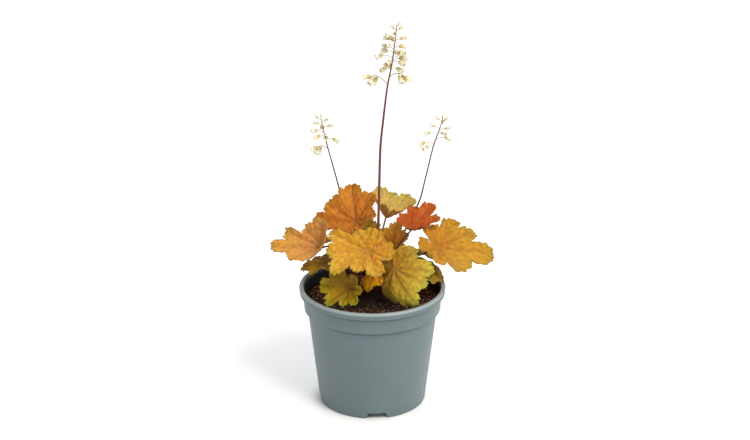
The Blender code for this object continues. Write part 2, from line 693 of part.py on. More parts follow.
def main():
    for old in list(bpy.data.objects):
        bpy.data.objects.remove(old)
    home = collection("heuchera_in_pot")
    cutters = collection("cutters")
    make_pot(home, cutters)
    make_soil(home, cutters)
    make_crown(home, cutters)
    for leaf in LEAVES:
        make_leaf(leaf, home)
    for spray in SPRAYS:
        make_spray(spray, home)


main()
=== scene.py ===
# %% [markdown]
# # A heuchera in its nursery pot
#
# Heuchera, or coral bells, is a woodland perennial. Lobed leaves on thin stalks rise from one woody
# crown, and bare stalks carry loose sprays of small bell flowers high above them. This notebook
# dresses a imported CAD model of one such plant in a 14 cm pot: every piece is built in place, in
# metres, over the solid that it stands for. -Y is the front and +Z is up.

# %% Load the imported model
import math
from collections import namedtuple

import bpy
import numpy as np
from mathutils import Matrix, Vector, noise
from mathutils.geometry import interpolate_bezier


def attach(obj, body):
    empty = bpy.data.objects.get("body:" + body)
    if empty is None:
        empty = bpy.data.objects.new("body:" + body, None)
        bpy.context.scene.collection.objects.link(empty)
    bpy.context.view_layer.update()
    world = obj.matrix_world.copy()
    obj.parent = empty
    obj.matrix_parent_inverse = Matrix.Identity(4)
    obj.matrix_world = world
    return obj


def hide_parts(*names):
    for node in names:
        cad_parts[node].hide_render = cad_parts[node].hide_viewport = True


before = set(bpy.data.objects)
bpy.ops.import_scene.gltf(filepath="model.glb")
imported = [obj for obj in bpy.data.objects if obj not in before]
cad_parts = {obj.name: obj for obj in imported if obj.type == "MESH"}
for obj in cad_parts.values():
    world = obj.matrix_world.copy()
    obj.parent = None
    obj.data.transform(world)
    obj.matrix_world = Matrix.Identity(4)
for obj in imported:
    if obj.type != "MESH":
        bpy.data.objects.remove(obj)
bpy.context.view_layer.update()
print("solids:", len(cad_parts))

# %% [markdown]
# A few helpers serve every piece. One turns a colour as a painter's hex code into the linear values
# that a render adds up. One wires a node: it links the inputs that are given as sockets and sets
# the others. One adds a node and wires it. One turns arrays of points and faces into an object
# whose place is in its mesh. The last lays a colour over another where a measured value says so, as
# a painter lays glazes.

# %% Colour, node and mesh helpers
MM = 0.001
# The Mix node holds a set of sockets for each kind of value. These are the ones for colours.
FACTOR, COLOUR_A, COLOUR_B, COLOUR_OUT = 0, 6, 7, 2


def colour(code):
    """A #rrggbb colour as linear red, green, blue and alpha."""
    parts = [int(code[i:i + 2], 16) / 255 for i in (1, 3, 5)]
    return (*[p / 12.92 if p <= 0.04045 else ((p + 0.055) / 1.055) ** 2.4 for p in parts], 1.0)


def wire(tree, node, inputs):
    """Links each input that is given as a socket and sets each other one; # starts a colour."""
    for key, value in inputs.items():
        if isinstance(value, bpy.types.NodeSocket):
            tree.links.new(value, node.inputs[key])
        else:
            is_colour = isinstance(value, str) and value.startswith("#")
            node.inputs[key].default_value = colour(value) if is_colour else value


def add(tree, kind, inputs=None, **settings):
    """Adds a node with its settings, and wires it."""
    made = tree.nodes.new(kind)
    for key, value in settings.items():
        setattr(made, key, value)
    wire(tree, made, inputs or {})
    return made


def layered(tree, under, over, value, start=0.0, end=1.0, most=1.0):
    """A colour over another: none of it where the value is at start, and the most of it at end."""
    amount = add(tree, "ShaderNodeMapRange", {
        "Value": value, "From Min": start, "From Max": end, "To Min": 0.0, "To Max": most,
    }).outputs["Result"]
    return add(tree, "ShaderNodeMix", {
        FACTOR: amount, COLOUR_A: under, COLOUR_B: over,
    }, data_type="RGBA").outputs[COLOUR_OUT]


def new_material(name):
    """A material, its tree, its shader, and the socket that gives a point's place on the object."""
    made = bpy.data.materials.new(name)
    made.use_nodes = True
    tree = made.node_tree
    place = add(tree, "ShaderNodeTexCoord").outputs["Object"]
    return made, tree, tree.nodes["Principled BSDF"], place


def new_object(name, points, faces, edges=()):
    """An object at the origin from points in metres, smooth shaded."""
    mesh = bpy.data.meshes.new(name)
    mesh.from_pydata([tuple(p) for p in points], edges, faces)
    mesh.shade_smooth()
    made = bpy.data.objects.new(name, mesh)
    bpy.context.scene.collection.objects.link(made)
    return made


def paint(made, name, values, kind="FLOAT"):
    """Stores one value a point on the mesh, for a material or a node tree to read by name."""
    layer = made.data.attributes.new(name, kind, "POINT")
    key = {"FLOAT": "value", "FLOAT_COLOR": "color", "FLOAT_VECTOR": "vector"}[kind]
    layer.data.foreach_set(key, np.asarray(values, dtype=np.float32).ravel())


# %% [markdown]
# The camera stands where the photograph's did: 1.65 m away, looking 21 degrees down through a long
# lens. The light is a plain studio's: a pale world that is dimmer on the left, a large soft key from
# the front right, and weak lamps at the front left and behind. The floor is pale and matt. Its paint
# glows a little as painted light everywhere but under the pot, where the missing glow is painted
# shade. The glow also lights the leaves from below.

# %% Camera, lights and floor
CAMERA_PLACE, CAMERA_LOOKS_DOWN = (0.0025, -1.4686, 0.7532), 21.2
FOCAL_LENGTH_PIXELS, FRAME_WIDTH_PIXELS, SENSOR_WIDTH = 1672, 750, 36.0

lens = bpy.data.cameras.new("camera")
lens.sensor_width = SENSOR_WIDTH
lens.lens = SENSOR_WIDTH * FOCAL_LENGTH_PIXELS / FRAME_WIDTH_PIXELS
camera = bpy.data.objects.new("camera", lens)
camera.location = CAMERA_PLACE
camera.rotation_euler = (math.radians(90 - CAMERA_LOOKS_DOWN), 0, 0)
bpy.context.scene.collection.objects.link(camera)
bpy.context.scene.camera = camera
bpy.context.scene.view_settings.view_transform = "Standard"

world = bpy.data.worlds.new("pale studio")
world.use_nodes = True
studio = world.node_tree
direction = add(studio, "ShaderNodeTexCoord").outputs["Object"]
side = add(studio, "ShaderNodeSeparateXYZ", {"Vector": direction})
glow = add(studio, "ShaderNodeMapRange", {
    "Value": side.outputs["X"], "From Min": -1.0, "From Max": 1.0, "To Min": 0.05, "To Max": 0.85,
})
wire(studio, studio.nodes["Background"], {"Color": "#f6f8fb", "Strength": glow.outputs["Result"]})
bpy.context.scene.world = world
LAMPS_AIM = Vector((0, 0, 0.15))

# name, place, size in metres, power in watts, colour
for name, place, size, power, tint in (
    ("key", (1.0, -1.2, 2.1), 1.0, 40, "#fff9f0"),
    ("fill", (-0.9, -1.6, 1.4), 1.4, 8, "#f4f6ff"),
    ("back", (0.1, 1.5, 1.9), 1.2, 16, "#ffffff"),
):
    lamp = bpy.data.lights.new(name, "AREA")
    lamp.size = size
    lamp.energy = power
    lamp.color = colour(tint)[:3]
    holder = bpy.data.objects.new(name, lamp)
    holder.location = place
    aim = LAMPS_AIM - Vector(place)
    holder.rotation_euler = aim.to_track_quat("-Z", "Y").to_euler()
    bpy.context.scene.collection.objects.link(holder)

FLOOR_HALF = 6.0
# the floor's painted glow: none within the first radius from the axis, which is painted shade under the
# pot, and all of it beyond the second
PAINTED_SHADE_WITHIN, PAINTED_GLOW_BEYOND, PAINTED_FLOOR_GLOW = 0.046, 0.062, 0.28
corners = [(x * FLOOR_HALF, y * FLOOR_HALF, 0) for x, y in ((-1, -1), (1, -1), (1, 1), (-1, 1))]
floor = new_object("studio_floor", corners, [(0, 1, 2, 3)])
glowing_floor_paint, tree, shader, place = new_material("matt floor paint")
away = add(tree, "ShaderNodeVectorMath", {0: place}, operation="LENGTH")
lit = add(tree, "ShaderNodeMapRange", {
    "Value": away.outputs["Value"], "From Min": PAINTED_SHADE_WITHIN, "From Max": PAINTED_GLOW_BEYOND,
    "To Min": 0.0, "To Max": PAINTED_FLOOR_GLOW,
})
wire(tree, shader, {
    "Base Color": "#f4f4f3", "Roughness": 0.9, "IOR": 1.5,
    "Emission Color": "#ffffff", "Emission Strength": lit.outputs["Result"],
})
floor.data.materials.append(glowing_floor_paint)
print("lens", round(lens.lens, 1), "mm")

# %% [markdown]
# ## The pot
#
# A nursery pot is injection moulded from polypropylene, so it is a solid of revolution with soft
# corners: a rounded lip over a collar, a tapered wall and a thin foot ring. It could be a Screw
# modifier on a curve. Here the profile is turned in code, because each corner then gets its own
# rounding. The notches in the foot and the drain holes are cut with Booleans, as the CAD does.

# %% The pot's profile
# radius, height and rounding of each corner in mm, from the floor's middle up the inside, over the
# lip, and down the outside to the middle of the base
POT_CORNERS = (
    (0, 6.6, 0), (50.0, 6.6, 1.6), (60.5, 93.1, 1.5), (63.8, 96.3, 1.5), (64.9, 113.0, 1.5),
    (66.0, 117.2, 0.8), (70.0, 117.2, 1.3), (69.6, 110.9, 0.5), (66.4, 111.3, 0.3),
    (65.4, 95.1, 0.4), (62.3, 95.3, 0.3), (51.4, 1.2, 0.8), (50.6, 0.0, 0.5), (48.9, 0.0, 0.4),
    (48.3, 5.0, 0.5), (17.0, 5.0, 0.5), (16.0, 0.0, 0.5), (0, 0, 0),
)
ARC_STEPS, POT_TURNS = 4, 160


def soften(corners):
    """The profile with each corner swapped for a short curve of its own rounding."""
    points = [Vector(c[:2]) for c in corners]
    full = [points[0]]
    for before, here, after, corner in zip(points, points[1:], points[2:], corners[1:]):
        start = here + (before - here).normalized() * corner[2]
        end = here + (after - here).normalized() * corner[2]
        for i in range(ARC_STEPS + 1):
            t = i / ARC_STEPS
            full.append(start * (1 - t) ** 2 + here * 2 * t * (1 - t) + end * t * t)
    return full + [points[-1]]


def wrapped(rings, turns, turned=False):
    """The faces of a closed form: a point, rings of points and a last point; turned flips them."""
    faces = []
    last_ring = 1 + (rings - 1) * turns
    for i in range(turns):
        j = (i + 1) % turns
        faces += [(0, 1 + i, 1 + j), (last_ring + turns, last_ring + j, last_ring + i)]
        for ring in range(1, last_ring, turns):
            faces.append((ring + i, ring + turns + i, ring + turns + j, ring + j))
    return [(face[0], *face[:0:-1]) for face in faces] if turned else faces


def round_axis(radius, angle, height):
    """The point at a distance from the axis and at an angle round it."""
    return radius * math.cos(angle), radius * math.sin(angle), height


def lathe(name, profile, turns):
    """A closed solid of revolution from a profile whose two ends are on the axis."""
    points = [(0, 0, profile[0][1] * MM)]
    for radius, height in profile[1:-1]:
        points += [round_axis(radius * MM, math.tau * i / turns, height * MM) for i in range(turns)]
    points.append((0, 0, profile[-1][1] * MM))
    return new_object(name, points, wrapped(len(profile) - 2, turns))


pot = lathe("pot_shell", soften(POT_CORNERS), POT_TURNS)
print("pot faces:", len(pot.data.polygons))

# %% Foot notches and drain holes
NOTCH_TURN, NOTCH_INNER, NOTCH_OUTER = 5.0, 41.0, 58.0
NOTCH_OUTLINE = ((-12.7, -2.0), (12.7, -2.0), (8.0, 6.0), (-8.0, 6.0))
BAR_SIDES = [(0, 3, 2, 1), (4, 5, 6, 7), (0, 1, 5, 4), (1, 2, 6, 5), (2, 3, 7, 6), (3, 0, 4, 7)]
DRAIN_HOLES, DRAIN_CIRCLE, DRAIN_RADIUS, DRAIN_SIDES, DRAIN_DEPTH = 6, 34.0, 4.0, 40, 10
SHARP_ANGLE = math.radians(35)
cutters = []
for quarter in range(4):
    turn = Matrix.Rotation(math.radians(NOTCH_TURN + 90 * (quarter - 1)), 4, "Z")
    bar = [turn @ Vector((r, y, z)) * MM for r in (NOTCH_INNER, NOTCH_OUTER) for y, z in NOTCH_OUTLINE]
    cutters.append(new_object(f"notch_{quarter}", bar, BAR_SIDES))
for hole in range(DRAIN_HOLES):
    angle = math.tau * (hole + 0.5) / DRAIN_HOLES
    bpy.ops.mesh.primitive_cylinder_add(
        vertices=DRAIN_SIDES, radius=DRAIN_RADIUS * MM, depth=DRAIN_DEPTH * MM,
        location=round_axis(DRAIN_CIRCLE * MM, angle, DRAIN_DEPTH / 2 * MM),
    )
    cutters.append(bpy.context.object)


def settle(made, modifier):
    """Makes what a modifier gives the object's own plain mesh, and removes the modifier."""
    bpy.context.view_layer.update()
    mesh = bpy.data.meshes.new_from_object(made.evaluated_get(bpy.context.evaluated_depsgraph_get()))
    made.modifiers.remove(modifier)
    made.data = mesh


def cut(made, tools):
    """Cuts the tools out of an object and removes them."""
    group = bpy.data.collections.new("tools")
    for tool in tools:
        group.objects.link(tool)
    boolean = made.modifiers.new("cut", "BOOLEAN")
    boolean.operation = "DIFFERENCE"
    boolean.operand_type = "COLLECTION"
    boolean.collection = group
    boolean.solver = "EXACT"
    settle(made, boolean)
    for tool in tools:
        bpy.data.objects.remove(tool)
    bpy.data.collections.remove(group)


cut(pot, cutters)
pot.data.shade_smooth()
pot.data.set_sharp_from_angle(angle=SHARP_ANGLE)
print("pot faces after cutting:", len(pot.data.polygons))

# %% [markdown]
# The pot is blue-grey recycled polypropylene. The mould was spark eroded, which leaves an even,
# very fine grain that spreads every highlight. The top of the lip is painted lighter as a painted
# highlight, thin lines of painted shade lie in the corners under the lip and the collar, and the wall
# inside is darkened as painted shade. The grain is about 0.3 mm. It is drawn at 0.8 mm, because
# finer would not show.

# %% Moulded polypropylene
GRAIN_MM, CLOUD_MM = 0.8, 22.0
# heights in mm of the lip's painted highlight and of the start of the painted shade inside, and radii in
# mm over which the inside begins
PAINTED_LIP_HIGHLIGHT_Z, INNER_SHADE_Z, INNER_WALL_RADIUS = (114.5, 116.8), (96.0, 97.5), (65.2, 64.8)
# heights in mm of the lines of painted shade under the collar and the lip, how far off they fade out,
# and how near they are darkest
SHADE_LINE_Z, SHADE_LINE_ENDS, SHADE_LINE_FULL = (93.5, 109.3), 1.6, 0.5
polypropylene, tree, shader, place = new_material("moulded blue-grey polypropylene")
clouds = add(tree, "ShaderNodeTexNoise", {
    "Vector": place, "Scale": 1 / (CLOUD_MM * MM), "Detail": 3.0,
}).outputs["Fac"]
grain = add(tree, "ShaderNodeTexNoise", {
    "Vector": place, "Scale": 1 / (GRAIN_MM * MM), "Detail": 2.0,
}).outputs["Fac"]
height = add(tree, "ShaderNodeSeparateXYZ", {"Vector": place}).outputs["Z"]
painted = layered(tree, "#58686a", "#637478", clouds)
painted = layered(tree, painted, "#88979a", grain, 0.25, 0.75, most=0.16)
# the top of the lip painted lighter: a painted highlight
painted = layered(tree, painted, "#a3b0b1", height, PAINTED_LIP_HIGHLIGHT_Z[0] * MM, PAINTED_LIP_HIGHLIGHT_Z[1] * MM)
# thin lines of painted shade in the corners under the collar and the lip
for corner_z in SHADE_LINE_Z:
    above = add(tree, "ShaderNodeMath", {0: height, 1: corner_z * MM}, operation="SUBTRACT")
    far = add(tree, "ShaderNodeMath", {0: above.outputs[0]}, operation="ABSOLUTE")
    painted = layered(tree, painted, "#2c3638", far.outputs[0], SHADE_LINE_ENDS * MM, SHADE_LINE_FULL * MM, most=0.5)
flat_place = add(tree, "ShaderNodeVectorMath", {0: place, 1: (1, 1, 0)}, operation="MULTIPLY")
from_axis = add(tree, "ShaderNodeVectorMath", {0: flat_place.outputs["Vector"]}, operation="LENGTH")
inside, over_foot = (
    add(tree, "ShaderNodeMapRange", {
        "Value": value, "From Min": start * MM, "From Max": end * MM,
    }).outputs["Result"]
    for value, (start, end) in (
        (from_axis.outputs["Value"], INNER_WALL_RADIUS), (height, INNER_SHADE_Z),
    )
)
# the inner wall darkened as painted shade
inner_shade = add(tree, "ShaderNodeMath", {0: inside, 1: over_foot}, operation="MULTIPLY")
painted = layered(tree, painted, "#252a27", inner_shade.outputs[0], most=0.75)
rub = add(tree, "ShaderNodeMapRange", {
    "Value": clouds, "From Min": 0.3, "From Max": 0.7, "To Min": 0.40, "To Max": 0.52,
})
skin = add(tree, "ShaderNodeBump", {"Height": grain, "Strength": 0.25, "Distance": 0.1 * MM})
wire(tree, shader, {
    "Base Color": painted, "Roughness": rub.outputs["Result"], "IOR": 1.49,
    "Normal": skin.outputs["Normal"],
})
pot.data.materials.clear()
pot.data.materials.append(polypropylene)
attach(pot, "root")
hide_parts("pot")

# %% [markdown]
# ## The potting mix
#
# The mix is dark, damp peat with shredded bark. Its surface could be one noisy disc, but bark reads
# as bark only if separate shreds catch the light. So the bed is a lumpy closed solid, and Geometry
# Nodes scatter three sizes of shred over its top with a fixed seed.

# %% Painted shade in the middle
# painted shade and light on the mix: the shade's middle in metres, the distances in mm over which it
# turns to light, and how dark and how light it makes the colour
SOIL_SHADE_MIDDLE = (0, -0.012, 0.104)
SOIL_SHADE_WITHIN, SOIL_LIGHT_BEYOND, SOIL_SHADE_VALUE, SOIL_LIGHT_VALUE = 20, 46, 0.35, 1.8


def with_painted_shade(tree, place, painted):
    """The colour darkened as painted shade under the leaves and lightened as painted light towards the
    rim.
    """
    away = add(tree, "ShaderNodeVectorMath", {0: place, 1: SOIL_SHADE_MIDDLE}, operation="DISTANCE")
    soil_light = add(tree, "ShaderNodeMapRange", {
        "Value": away.outputs["Value"], "From Min": SOIL_SHADE_WITHIN * MM, "From Max": SOIL_LIGHT_BEYOND * MM,
        "To Min": SOIL_SHADE_VALUE, "To Max": SOIL_LIGHT_VALUE,
    }).outputs["Result"]
    return add(tree, "ShaderNodeHueSaturation", {"Color": painted, "Value": soil_light}).outputs["Color"]


# %% The bed of peat
SOIL_EDGE_Z, SOIL_EDGE_RADIUS, SOIL_WALL_RADIUS, SOIL_MOUND = 104.5, 63.5, 65.3, 4.0
SOIL_LUMP, SOIL_LUMP_SIZE, SOIL_FINE, SOIL_EDGE_CALM = 1.3, 9.0, 2.1, 0.6
SOIL_CRUMB, SOIL_CRUMB_SIZE, SOIL_CRUMB_SLICE = 0.7, 2.3, 7
SOIL_RINGS, SOIL_TURNS = 60, 200
SOIL_SIDE = ((63.3, 97.0), (60.2, 93.1), (50.3, 8.5), (48.8, 7.1), (0, 7.1))


def soil_height(x, y):
    """The height of the mix over a point of the pot, all in mm."""
    out = min(1, math.hypot(x, y) / SOIL_WALL_RADIUS)
    mound = SOIL_MOUND * (1 - out * out)
    spot = Vector((x, y, 0)) / SOIL_LUMP_SIZE
    lump = SOIL_LUMP * (noise.noise(spot) + noise.noise(spot * SOIL_FINE) / 2)
    crumb = SOIL_CRUMB * noise.noise(Vector((x, y, SOIL_CRUMB_SLICE)) / SOIL_CRUMB_SIZE)
    return SOIL_EDGE_Z + mound + lump * (1 - SOIL_EDGE_CALM * out) + crumb


rings = [(SOIL_EDGE_RADIUS * i / SOIL_RINGS, SOIL_EDGE_Z) for i in range(SOIL_RINGS + 1)]
soil = lathe("soil_bed", rings + list(SOIL_SIDE), SOIL_TURNS)
for point in soil.data.vertices:
    if point.co.z > (SOIL_EDGE_Z + SOIL_SIDE[0][1]) / 2 * MM:
        point.co.z = soil_height(point.co.x / MM, point.co.y / MM) * MM
soil.data.flip_normals()
soil.data.shade_smooth()
print("bed faces:", len(soil.data.polygons))

# %% Damp peat
CRUMB_MM = 1.6
peat, tree, shader, place = new_material("damp peat")
crumbs = add(tree, "ShaderNodeTexNoise", {
    "Vector": place, "Scale": 1 / (CRUMB_MM * MM), "Detail": 5.0,
}).outputs["Fac"]
brown = layered(tree, "#100804", "#54331e", crumbs, 0.42, 0.72)
rough = add(tree, "ShaderNodeBump", {"Height": crumbs, "Strength": 0.9, "Distance": 0.8 * MM})
wire(tree, shader, {
    "Base Color": with_painted_shade(tree, place, brown), "Roughness": 0.86, "IOR": 1.4,
    "Normal": rough.outputs["Normal"],
})
soil.data.materials.append(peat)
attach(soil, "root")
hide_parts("soil")

# %% [markdown]
# A node tree is told what to do through named inputs, so one scatter tree can lay long fibres,
# broad chips and pale grit. It throws points on the faces it is given, turns each shred to lie with
# a random spin and tilt, and stores a random tone on each for the material to colour it by.

# %% A tree that scatters shreds
def run_tree(made, tree, inputs):
    """Runs a node tree on an object and keeps the result as the object's own plain mesh."""
    modifier = made.modifiers.new(tree.name, "NODES")
    modifier.node_group = tree
    for item in tree.interface.items_tree:
        if item.item_type == "SOCKET" and item.in_out == "INPUT" and item.name in inputs:
            modifier[item.identifier] = inputs[item.name]
    settle(made, modifier)


def new_tree(name, inputs):
    """An empty node tree with geometry in and out and named inputs, and the inputs' sockets."""
    tree = bpy.data.node_groups.new(name, "GeometryNodeTree")
    tree.interface.new_socket("Geometry", in_out="INPUT", socket_type="NodeSocketGeometry")
    for socket, kind in inputs.items():
        tree.interface.new_socket(socket, in_out="INPUT", socket_type="NodeSocket" + kind)
    tree.interface.new_socket("Geometry", in_out="OUTPUT", socket_type="NodeSocketGeometry")
    return tree, add(tree, "NodeGroupInput").outputs


def end_tree(tree, geometry, finish):
    """Ends a tree: instances are made real, smoothed and given their material."""
    real = add(tree, "GeometryNodeRealizeInstances", {"Geometry": geometry}).outputs["Geometry"]
    smooth = add(tree, "GeometryNodeSetShadeSmooth", {"Geometry": real}).outputs["Geometry"]
    coat = add(tree, "GeometryNodeSetMaterial", {"Geometry": smooth, "Material": finish})
    add(tree, "NodeGroupOutput", {"Geometry": coat.outputs["Geometry"]})


TONE_SEED = 3
scatter, given = new_tree("scatter shreds", {
    "Shred": "Object", "Per Square Metre": "Float", "Seed": "Int", "Tilt": "Float",
    "Smallest": "Float", "Largest": "Float", "Finish": "Material",
})
spots = add(scatter, "GeometryNodeDistributePointsOnFaces", {
    "Mesh": given["Geometry"], "Density": given["Per Square Metre"], "Seed": given["Seed"],
})
tilt = add(scatter, "ShaderNodeMath", {0: given["Tilt"], 1: -1.0}, operation="MULTIPLY").outputs[0]
least = add(scatter, "ShaderNodeCombineXYZ", {"X": tilt, "Y": tilt})
most = add(scatter, "ShaderNodeCombineXYZ", {"X": given["Tilt"], "Y": given["Tilt"], "Z": math.tau})
spin = add(scatter, "FunctionNodeRandomValue", {
    "Min": least.outputs[0], "Max": most.outputs[0], "Seed": given["Seed"],
}, data_type="FLOAT_VECTOR")
turned = add(scatter, "FunctionNodeRotateRotation", {
    "Rotation": spots.outputs["Rotation"], "Rotate By": spin.outputs["Value"],
}, rotation_space="LOCAL")
size = add(scatter, "FunctionNodeRandomValue", {
    2: given["Smallest"], 3: given["Largest"], "Seed": given["Seed"],
}, data_type="FLOAT")
shred = add(scatter, "GeometryNodeObjectInfo", {"Object": given["Shred"]})
laid = add(scatter, "GeometryNodeInstanceOnPoints", {
    "Points": spots.outputs["Points"], "Instance": shred.outputs["Geometry"],
    "Rotation": turned.outputs["Rotation"], "Scale": size.outputs[1],
})
chance = add(scatter, "FunctionNodeRandomValue", {"Seed": TONE_SEED}, data_type="FLOAT")
toned = add(scatter, "GeometryNodeStoreNamedAttribute", {
    "Geometry": laid.outputs["Instances"], "Name": "tone", "Value": chance.outputs[1],
}, data_type="FLOAT", domain="INSTANCE")
end_tree(scatter, toned.outputs["Geometry"], given["Finish"])
print("scatter tree nodes:", len(scatter.nodes))

# %% Bark, fibre and grit
FIBRE_MM = 0.9
bark, tree, shader, place = new_material("shredded bark")
tone = add(tree, "ShaderNodeAttribute", attribute_name="tone").outputs["Fac"]
fibres = add(tree, "ShaderNodeTexNoise", {
    "Vector": place, "Scale": 1 / (FIBRE_MM * MM), "Detail": 4.0,
}).outputs["Fac"]
worn = layered(tree, layered(tree, "#3c1d0e", "#b87a48", tone), "#4a2a18", fibres)
ridged = add(tree, "ShaderNodeBump", {"Height": fibres, "Strength": 0.8, "Distance": 0.3 * MM})
wire(tree, shader, {
    "Base Color": with_painted_shade(tree, place, worn), "Roughness": 0.8, "IOR": 1.45,
    "Normal": ridged.outputs["Normal"],
})

grit, tree, shader, place = new_material("pale grit and perlite")
tone = add(tree, "ShaderNodeAttribute", attribute_name="tone").outputs["Fac"]
pale = with_painted_shade(tree, place, layered(tree, "#805634", "#dcc294", tone))
wire(tree, shader, {"Base Color": pale, "Roughness": 0.9, "IOR": 1.5})

# %% Strew the shreds
SHRED_STEPS = 4
STREWN_ABOVE, STREWN_WITHIN = 103.5, 60.5


def shred_shape(name, length, width, height, bend):
    """A tapered shred along X, in mm: a row of four-cornered rings that bends and ends in points."""
    points = [(-length / 2, 0, 0)]
    for i in range(1, SHRED_STEPS):
        t = i / SHRED_STEPS
        fat = math.sin(math.pi * t) ** 0.5
        lift = bend * math.sin(math.pi * t)
        x = (t - 0.5) * length
        points += [(x, -width * fat, lift), (x, 0, lift - height * fat),
                   (x, width * fat, lift), (x, 0, lift + height * fat)]
    points.append((length / 2, 0, 0))
    return new_object(name, [Vector(p) * MM for p in points], wrapped(SHRED_STEPS - 1, 4, turned=True))


bed_top = new_object("bed_top", [v.co for v in soil.data.vertices], [
    tuple(p.vertices) for p in soil.data.polygons
    if p.center.z > STREWN_ABOVE * MM and math.hypot(p.center.x, p.center.y) < STREWN_WITHIN * MM
])
# piece, finish, half sizes of the shred in mm, its bend, shreds a square metre, seed, tilt, sizes
for name, finish, length, width, height, bend, count, seed, tilt, small, large in (
    ("bark_chips", bark, 4.6, 0.9, 0.4, 0.3, 90000, 4, 0.6, 0.4, 1.3),
    ("bark_fibres", bark, 9.0, 0.3, 0.25, 1.6, 50000, 8, 0.35, 0.4, 1.2),
    ("grit", grit, 1.5, 0.6, 0.5, 0.0, 80000, 15, 0.6, 0.4, 1.1),
):
    pattern = shred_shape(name + "_pattern", length, width, height, bend)
    strewn = bpy.data.objects.new(name, bed_top.data.copy())
    bpy.context.scene.collection.objects.link(strewn)
    run_tree(strewn, scatter, {
        "Shred": pattern, "Per Square Metre": float(count), "Seed": seed, "Tilt": tilt,
        "Smallest": small, "Largest": large, "Finish": finish,
    })
    bpy.data.objects.remove(pattern)
    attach(strewn, "root")
    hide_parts("soil")
    print(name, len(strewn.data.polygons), "faces")
bpy.data.objects.remove(bed_top)

# %% [markdown]
# ## The crown
#
# Every stalk rises from a short woody crown that has thickened year by year, ringed with the stubs
# of old leaves. It is a ball of fine faces pushed in and out by two sizes of noise.

# %% The crown
CROWN_RADIUS, CROWN_BOTTOM_Z, CROWN_TOP_Z = 13.4, 98.0, 113.5
KNOB_RISE, KNOBS, CRACK_DEPTH, CRACKS = 0.08, 3.5, 0.05, 9
FLAKE_MM = 2.2
bpy.ops.mesh.primitive_ico_sphere_add(subdivisions=6, radius=1)
crown = bpy.context.object
crown.name = "crown_knot"
for point in crown.data.vertices:
    knob = KNOB_RISE * noise.noise(point.co * KNOBS)
    crack = CRACK_DEPTH * abs(noise.noise(point.co * CRACKS))
    side = point.co * (1 + knob - crack)
    height = (CROWN_BOTTOM_Z + CROWN_TOP_Z + side.z * (CROWN_TOP_Z - CROWN_BOTTOM_Z)) / 2
    point.co = Vector((side.x * CROWN_RADIUS, side.y * CROWN_RADIUS, height)) * MM
crown.data.shade_smooth()

crown_bark, tree, shader, place = new_material("knobbly crown bark")
flakes = add(tree, "ShaderNodeTexNoise", {
    "Vector": place, "Scale": 1 / (FLAKE_MM * MM), "Detail": 5.0,
}).outputs["Fac"]
# the crown's dark bark is made darker still as painted shade under the leaves
dark_bark_and_shade = layered(tree, "#120705", "#341710", flakes)
cracks = add(tree, "ShaderNodeBump", {"Height": flakes, "Strength": 0.9, "Distance": 0.6 * MM})
wire(tree, shader, {
    "Base Color": dark_bark_and_shade, "Roughness": 0.75, "IOR": 1.45, "Normal": cracks.outputs["Normal"],
})
crown.data.materials.clear()
crown.data.materials.append(crown_bark)
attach(crown, "root")
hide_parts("crown")
print("crown faces:", len(crown.data.polygons))

# %% [markdown]
# ## The leaves
#
# A heuchera leaf is a rounded fan of seven lobes on main veins that all start at the stalk. Each
# lobe has blunt teeth, the blade is puckered between its side veins, and it funnels up from the
# joint and curls down again at the edge. All of that follows rules, so each blade is a grid of
# points: columns run out from the joint, and rings go round it. The table holds what differs from
# leaf to leaf, in mm and degrees, and repeats the solids' values, so that every blade covers its
# own solid.

# %% The leaf table
Leaf = namedtuple(
    "Leaf", "name at heading pitch roll size funnel curl sinus spot bend tint lobes turn",
    defaults=((1,) * 7, (0,) * 7),
)
